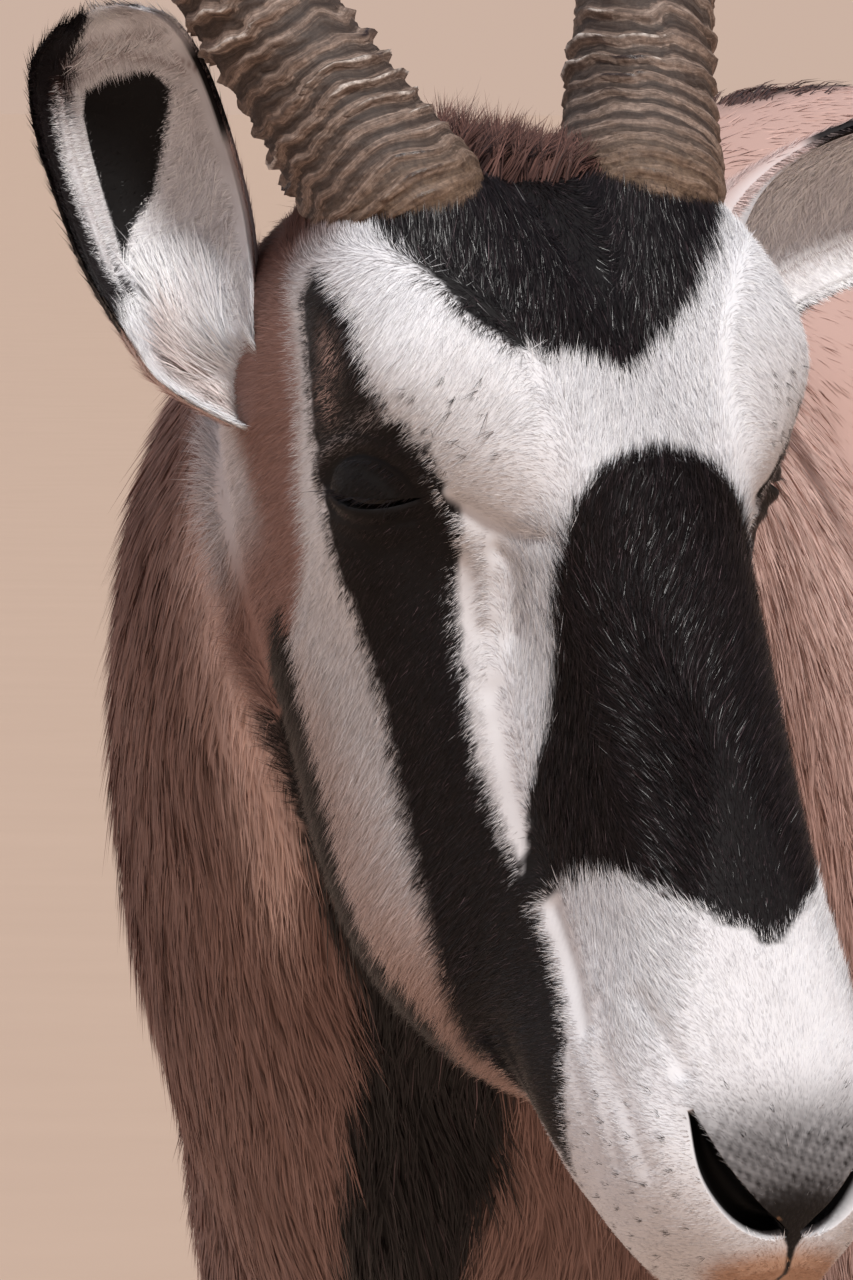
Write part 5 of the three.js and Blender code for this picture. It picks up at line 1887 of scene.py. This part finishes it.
def grow_neck():
    """The deep coat of the neck, in locks, some with paler tips that are painted light."""
    roots, normals, share = sown(on_neck, BLADES["neck"])
    distance, _ = far_from_head(roots)
    n = len(roots)
    length = 11 + 13 * step(8, 60, distance)
    length *= lerp(1, 0.62, step(-330, -150, roots[:, 1]))
    length *= about_one(n, 0.2)
    swirl = np.cross(normals, body_lie(roots)) * (0.22 * wobble(roots, 75, 81))[:, None]
    lies = combed(body_lie(roots) + swirl, normals, 0.1)
    lies, lock = clumped(roots, lies, length, 22, 0.25)
    lies = unit(lies - normals * (lies * normals).sum(1, keepdims=True))
    each = lock.max() + 1
    lift = 14 + 2.5 * rng.normal(0, 1, each)[lock] + rng.normal(0, 3, n)
    blade = blades(roots, normals, lies, length, 0.62, lift, 5, 2, bow=0.12)
    dark, light = dyed(roots, share, 0.1, 2.5, 0.86)
    # paler tips on some locks: painted light
    painted_light_tips = (0.2 + 0.5 * rng.normal(0, 1, each)[lock]).clip(0, 1) * (light.mean(1) > 0.08)
    light = tint(light, "fawn_light", 0.14 * painted_light_tips)
    coat_piece("coat_neck", blade, dark, light, "fawn_coat", fur_finish, body_spot(roots))


def grow_body(name, weight, count, length, width, slot):
    """The short, flat coat of the trunk or the legs."""
    roots, normals, share = sown(weight, count)
    n = len(roots)
    lies = combed(body_lie(roots), normals, 0.12)
    blade = blades(roots, normals, lies, length * about_one(n, 0.18), width,
                   rng.normal(7, 3, n), 3, 1)
    coat_piece(name, blade, *dyed(roots, share, 0.06, 2.5, 0.93), slot, fur_finish, body_spot(roots))


def grow_poll():
    """Woolly hair between and behind the horns, deepest on the right of the poll."""
    f, u, l = skin_local.T
    weight = step(-96, -104, f) * step(44, 34, np.abs(l)) * step(-60, -44, u)
    roots, normals, _ = sown(weight, BLADES["poll"])
    local = head_of(roots)
    n = len(roots)
    back = step(20, -30, local[:, 1])
    ways = np.stack([-0.8 + 0 * back, 0.1 - 0.9 * back, 0.5 + 0.2 * local[:, 2] / 30], 1)
    ways = unit(ways + rng.normal(0, 0.35, (n, 3))) @ HEAD_AXES
    length = np.interp(local[:, 2], [-44, -10, 10, 44], [27, 21, 14, 10]) * about_one(n, 0.13)
    ways, _ = clumped(roots, ways, length, 30, 0.45)
    colours = lerp(PALETTE["brown"] * 0.95, PALETTE["black"], rng.uniform(0, 0.8, (n, 1)) ** 1.3)
    tufted("poll_tuft", roots, normals, ways, length, 0.6, 30, -25, 2, colours, "face_coat", 0.25)


def grow_mane():
    """Dark hair along the top of the neck that leans back over itself."""
    along, turn, out = neck_place(skin_points)
    weight = step(24, 8, from_crest(turn, out)) * step(0.12, 0.2, along)
    weight = weight * (skin_local[:, 0] > -400) * (1 - headness)
    roots, _, _ = sown(weight, BLADES["mane"])
    n = len(roots)
    along, _, _ = neck_place(roots)
    _, _, dorsal, way = neck_frame(along)
    length = 30 * about_one(n, 0.18)
    length = length * np.interp(along, [0.1, 0.3, 0.9, 1.1], [0.5, 0.85, 1, 0.8])
    ways = unit(-way + rng.normal(0, 0.16, (n, 3)))
    ways, _ = clumped(roots, ways, length, 25, 0.4)
    colours = lerp(PALETTE["brown"], PALETTE["black"], rng.uniform(0, 0.7, (n, 1)))
    tufted("mane", roots, dorsal, ways, length, 0.7, 38, 2, 2, colours, "black_hair")


# Heights between which the hair leaves the tail, the height of its tips, and how many
TAIL_HAIR = {"from": 905, "to": 745, "low": 425, "count": 5200}


def grow_tail():
    """Long black hair from the lower half of the tail down to the hocks."""
    stops = np.linspace(0, 1, 200)
    middle, _, _ = tail_path(stops)
    z = rng.uniform(TAIL_HAIR["to"], TAIL_HAIR["from"], TAIL_HAIR["count"])
    at = np.interp(-z, -middle[:, 2], stops)
    place, _, radius = tail_path(at)
    n = len(place)
    turn = rng.uniform(0, 2 * math.pi, n)
    out = np.stack([np.cos(turn), np.sin(turn), 0 * turn], 1)
    roots = place + out * (radius * 0.7)[:, None]
    share = (TAIL_HAIR["from"] - z) / (TAIL_HAIR["from"] - TAIL_HAIR["to"])
    length = (z - TAIL_HAIR["low"]) * rng.uniform(0.55, 1, n) * lerp(0.62, 1, share)
    lies = unit(np.array([0, 0, -1.0]) + out * 0.03 + rng.normal(0, 0.02, (n, 3)))
    lies, _ = clumped(roots, lies, length, 60, 0.5)
    colours = lerp(PALETTE["black"], PALETTE["brown"] * 0.4, rng.uniform(0, 1, (n, 1)) ** 2)
    tufted("tail_hair", roots, out, lies, length, 1.3, 14, -3, 5, colours, "black_hair", 0.06)


# The ears' colours go by shares of the length and of the width, which is -1 at the inner rim and
# 1 at the outer one
EAR_BLACK = [  # share of the length, where the black of the outer rim starts
    (0, 1.05), (0.3, 1.02), (0.34, 0.72), (0.38, 0.6), (0.45, 0.7), (0.58, 0.75), (0.7, 0.78), (0.83, 0.67),
    (0.9, 0.5), (0.96, 0.26), (1, 0.15),
]
HOLLOW = [  # share of the length, inner and outer edge of the painted shade in the hollow
    (0.44, 0.5, 0.54), (0.5, 0.32, 0.53), (0.525, 0.24, 0.52), (0.576, -0.03, 0.52), (0.697, -0.31, 0.51),
    (0.796, -0.55, 0.48), (0.86, -0.4, 0.36), (0.885, -0.1, 0.1),
]


def hollow_edges(t):
    """Inner and outer edge of the painted shade in the hollow, and whether it reaches a share of the
    length.
    """
    at, inner, outer = np.array(HOLLOW).T
    return np.interp(t, at, inner), np.interp(t, at, outer), (t > at[0]) & (t < at[-1])


def ear_colour(name, t, q, inside, ragged=0.0):
    """The left ear, which lies in its own hair, shows less black in its cup, and only the right ear's
    hollow gets painted shade.
    """
    t = t + 0.006 * ragged
    q = q + 0.02 * ragged
    cup = inside > 0.5
    places = np.stack([t * EAR_LENGTH, q * 30, inside * 9], 1)
    uneven = wobble(places, 16, 61)
    colour = np.tile(PALETTE["white"], (len(t), 1))
    # painted shade on the cup's side by the inner rim
    painted_cup_shade = 0.3 * cup * step(-0.35, -0.6, q) * step(0.45, 0.6, t)
    colour = tint(colour, "grey", 0.08 + 0.12 * uneven + painted_cup_shade)
    lobe = step(0.3, 0.2, t) * cup
    colour = tint(colour, "tan", 0.25 * (0.5 + 0.5 * wobble(places, 22, 62)) * lobe * bump(q, 0.3, 0.5))
    colour = tint(colour, "brown", 0.5 * bump(t, 0.19, 0.05) * bump(q, 0.45, 0.2) * cup)
    colour = tint(colour, "fawn", 0.7 * ~cup * (1 - step(0.75, 0.95, t)))
    inner, outer, reached = hollow_edges(t)
    # painted shade deep in the hollow of the right ear's cup
    painted_hollow_shade = step(-0.04, 0.04, np.minimum(q - inner, outer - q)) * reached * cup
    colour = tint(colour, "deep", painted_hollow_shade * (name == "right"))
    at, start = np.array(EAR_BLACK).T
    start = np.interp(t, at, start) + 0.25 * cup * (name == "left") * step(0.9, 0.8, t)
    colour = tint(colour, "black", step(-0.04, 0.04, q - start))
    # thin dark lines where the hair parts beside the hollow and over it
    parting = bump(q, 0.63, 0.02) * step(0.4, 0.5, t) * step(0.9, 0.86, t)
    parting += bump(t, 0.925 - 0.12 * q**2, 0.008) * (q < 0.6)
    colour = tint(colour, "brown", 0.6 * parting * cup)
    thin = step(-0.93, -0.97, q) * step(0.62, 0.68, t) * step(0.9, 0.84, t)
    return tint(colour, "black", np.maximum(thin, step(0.99, 1, t) * (inside < 0.9)))


# Hair of the ears: how many, where along and across, side (0 back, 1 cup), length, way along and
# way towards the outer rim, lift, segments
EAR_HAIR = [
    (12000, (0, 1), (-1, 1), 0, 8, (1, 0.1), 12, 1),
    (5500, (0.3, 1), (0.66, 1), 1, 5, (0.35, 1), 14, 1),
    (2200, (0.02, 1), (0.97, 1), 0.5, 4.5, (0.3, 1), 25, 1),
    (1600, (0.3, 1), (-1, -0.97), 0.5, 4, (0.4, -1), 25, 1),
    (8500, (0.3, 0.9), (0.5, 0.72), 1, 5.5, (0.05, -1), 16, 1),
    (5000, (0.3, 0.9), (0.55, 0.76), 1, 4.5, (0.1, 1), 14, 1),
    (7000, (0.3, 0.92), (-0.6, 0.55), 1, 9, (0.5, -0.5), 14, 2),
    (9000, (0.89, 0.995), (-0.97, 0.75), 1, 6, (1, 0), 12, 1),
    (5000, (0.88, 0.925), (-0.7, 0.55), 1, 6, (-1, 0), 16, 1),
    (11000, (0.26, 0.92), (-0.93, 0.3), 1, 9.5, (-0.12, 1), 12, 2),
    (2400, (0.14, 0.36), (-0.35, 0.32), 1, 19, (1, 0.12), 20, 2),
    (9000, (0, 0.34), (-1, 1), 1, 8, (0.8, 0.1), 12, 1),
    (4000, (0.02, 0.16), (-1, 1), 1, 12, (-1, 0.1), 12, 2),
]


def on_ear(name, t, q, inside):
    """Places on an ear, the ways out of it, along it and towards its outer rim."""
    outer = -SIDES[name]
    a = q * outer
    along = ear_surface(name, np.minimum(t + 0.01, 1), a, inside)
    along = along - ear_surface(name, np.maximum(t - 0.01, 0), a, inside)
    across = ear_surface(name, t, a + 0.02, inside) - ear_surface(name, t, a - 0.02, inside)
    out = unit(np.cross(along, across)) * np.where(inside > 0.4, -1, 1)[:, None]
    place = in_head(ear_surface(name, t, a, inside))
    return place, out @ HEAD_AXES, unit(along) @ HEAD_AXES, unit(across * outer) @ HEAD_AXES


def room_by_hollow(t, q):
    """How long hair beside the painted shade of the hollow may be and not cover it."""
    inner, outer, reached = hollow_edges(t)
    room = np.where(2 * q < inner + outer, inner - q, q - outer) * max(row[1] for row in EAR)
    return np.where(reached, np.maximum(room, 0) + 2, 100)


def grow_ear(name):
    """All the hair of one ear; on the right one none of it lies over the painted shade of its hollow."""
    for part, (count, ends, rims, inside, long, (ahead, outward), raised, segments) in enumerate(EAR_HAIR):
        t = rng.uniform(*ends, count)
        q = rng.uniform(*rims, count)
        side = np.full(count, float(inside))
        colour = ear_colour(name, t, q, side, rng.normal(0, 1, count))
        keep = (colour.mean(1) > 0.004) | (rng.uniform(0, 1, count) < 0.2)
        t, q, side, colour = t[keep], q[keep], side[keep], colour[keep]
        place, normal, along, across = on_ear(name, t, q, side)
        ways = combed(along * ahead + across * outward, normal, 0.16)
        reach = long * about_one(len(t), 0.2)
        if inside == 1 and name == "right":
            reach = np.minimum(reach, room_by_hollow(t, q))
        colour = colour * about_one(len(t), 0.16)[:, None]
        lift = rng.normal(raised, 4, len(t))
        blade = blades(place, normal, ways, reach, 0.45, lift, raised * 0.5, segments, 0.15)
        spot = 0.02 + 0.96 * np.stack([t, (q + 1) / 2], 1)
        # tips brighter than roots: painted shade deep in the hair
        coat_piece(f"ear_hair_{name}_{part + 1}", blade, np.clip(colour * 1.05, 0, 0.97),
                   np.clip(colour * 1.25, 0, 0.97), "ear_coat", fur_finish, spot)


def make_ear(name):
    """An ear's shell and its hair."""
    points, faces, marks = ear_parts(name)
    mesh = new_mesh("ear_" + name, points, faces)
    colour = ear_colour(name, marks[:, 0], marks[:, 1] * -SIDES[name], marks[:, 2])
    give_coat(mesh, colour)
    new_object("ear_shell_" + name, mesh, skin_finish, ["ear_" + name])
    grow_ear(name)


spots = whisker_spots()
grow_face(spots)
grow_whiskers(spots)
grow_lashes()
grow_neck()
grow_body("coat_trunk", on_trunk, BLADES["trunk"], 12, 1.1, "fawn_coat")
grow_body("coat_legs", on_leg, BLADES["legs"], 8, 0.9, "white_coat")
grow_poll()
grow_mane()
grow_tail()
for name in SIDES:
    make_ear(name)


# Stage, light and camera

# Where the camera stands, and how many millimetres at the eyes one of the picture's points spans
CAMERA = {"azimuth": 38, "elevation": 2, "distance": 5500, "scale": 0.333}
# Width and height of the picture, and the place in it of the middle between the eyes
PHOTO = {"wide": 853, "high": 1280, "eyes": (573, 488)}
BACKDROP, ZENITH = (0.8, 0.7, 0.64), (0.55, 0.57, 0.62)
# Lamps: name, azimuth, elevation, strength, size across and colour
LAMPS = [("key", 58, 52, 3.3, 10, (1, 0.98, 0.95)), ("fill", -60, 30, 0.35, 60, (0.85, 0.92, 1))]


def way_to(azimuth, elevation):
    """The way to a camera or a lamp from the animal."""
    a, e = math.radians(azimuth), math.radians(elevation)
    return Vector((math.sin(a) * math.cos(e), -math.cos(a) * math.cos(e), math.sin(e)))


def set_camera():
    """A far camera about level with the eyes, framed as the picture is."""
    back = way_to(CAMERA["azimuth"], CAMERA["elevation"])
    a = math.radians(CAMERA["azimuth"])
    right = Vector((math.cos(a), math.sin(a), 0))
    up = back.cross(right)
    centre = Vector(HEAD_ORIGIN)
    centre += right * (PHOTO["wide"] / 2 - PHOTO["eyes"][0]) * CAMERA["scale"]
    centre -= up * (PHOTO["high"] / 2 - PHOTO["eyes"][1]) * CAMERA["scale"]
    data = bpy.data.cameras.new("camera")
    data.sensor_width = 36
    data.lens = CAMERA["distance"] / CAMERA["scale"] * data.sensor_width / PHOTO["high"]
    data.clip_end = 1000
    camera = linked("camera", data)
    camera.location = to_metres(np.array(centre + back * CAMERA["distance"]))
    camera.rotation_euler = back.to_track_quat("Z", "Y").to_euler()
    bpy.context.scene.camera = camera


def set_light():
    """A pale sky that is brightest near the horizon, and two soft lamps."""
    world = bpy.data.worlds.new("studio")
    world.use_nodes = True
    tree = world.node_tree
    sky = tree.nodes["Background"]
    band = tree.nodes.new("ShaderNodeValToRGB")
    parts = tree.nodes.new("ShaderNodeSeparateXYZ")
    tree.links.new(tree.nodes.new("ShaderNodeTexCoord").outputs["Generated"], parts.inputs["Vector"])
    tree.links.new(parts.outputs["Z"], band.inputs["Fac"])
    for element, at, colour in zip(band.color_ramp.elements, (0.06, 0.5), (BACKDROP, ZENITH)):
        element.position = at
        element.color = opaque(colour)
    tree.links.new(band.outputs["Color"], sky.inputs["Color"])
    sky.inputs["Strength"].default_value = 1.0
    bpy.context.scene.world = world
    bpy.context.scene.view_settings.view_transform = "Standard"
    for name, azimuth, elevation, strength, size, colour in LAMPS:
        data = bpy.data.lights.new(name, "SUN")
        data.energy = strength
        data.color = colour
        data.angle = math.radians(size)
        lamp = linked(name, data)
        lamp.rotation_euler = way_to(azimuth, elevation).to_track_quat("Z", "Y").to_euler()


FLOOR_HALF = 300000


def set_floor():
    """A wide floor in the colour of the backdrop."""
    square = np.array([[-1, -1, 0], [1, -1, 0], [1, 1, 0], [-1, 1, 0]]) * FLOOR_HALF
    m = Nodes("floor", roughness=0.9, specular=0.1)
    grain = m.noise(m.place(), 3, 4, 0.5)
    colour = m.ramp(grain, (0.3, (0.745, 0.645, 0.573)), (0.7, (0.755, 0.655, 0.582)))
    floor = linked("floor", new_mesh("floor", square, [[0, 1, 2, 3]]))
    floor.data.materials.append(m.finish(colour))


set_camera()
set_light()
set_floor()
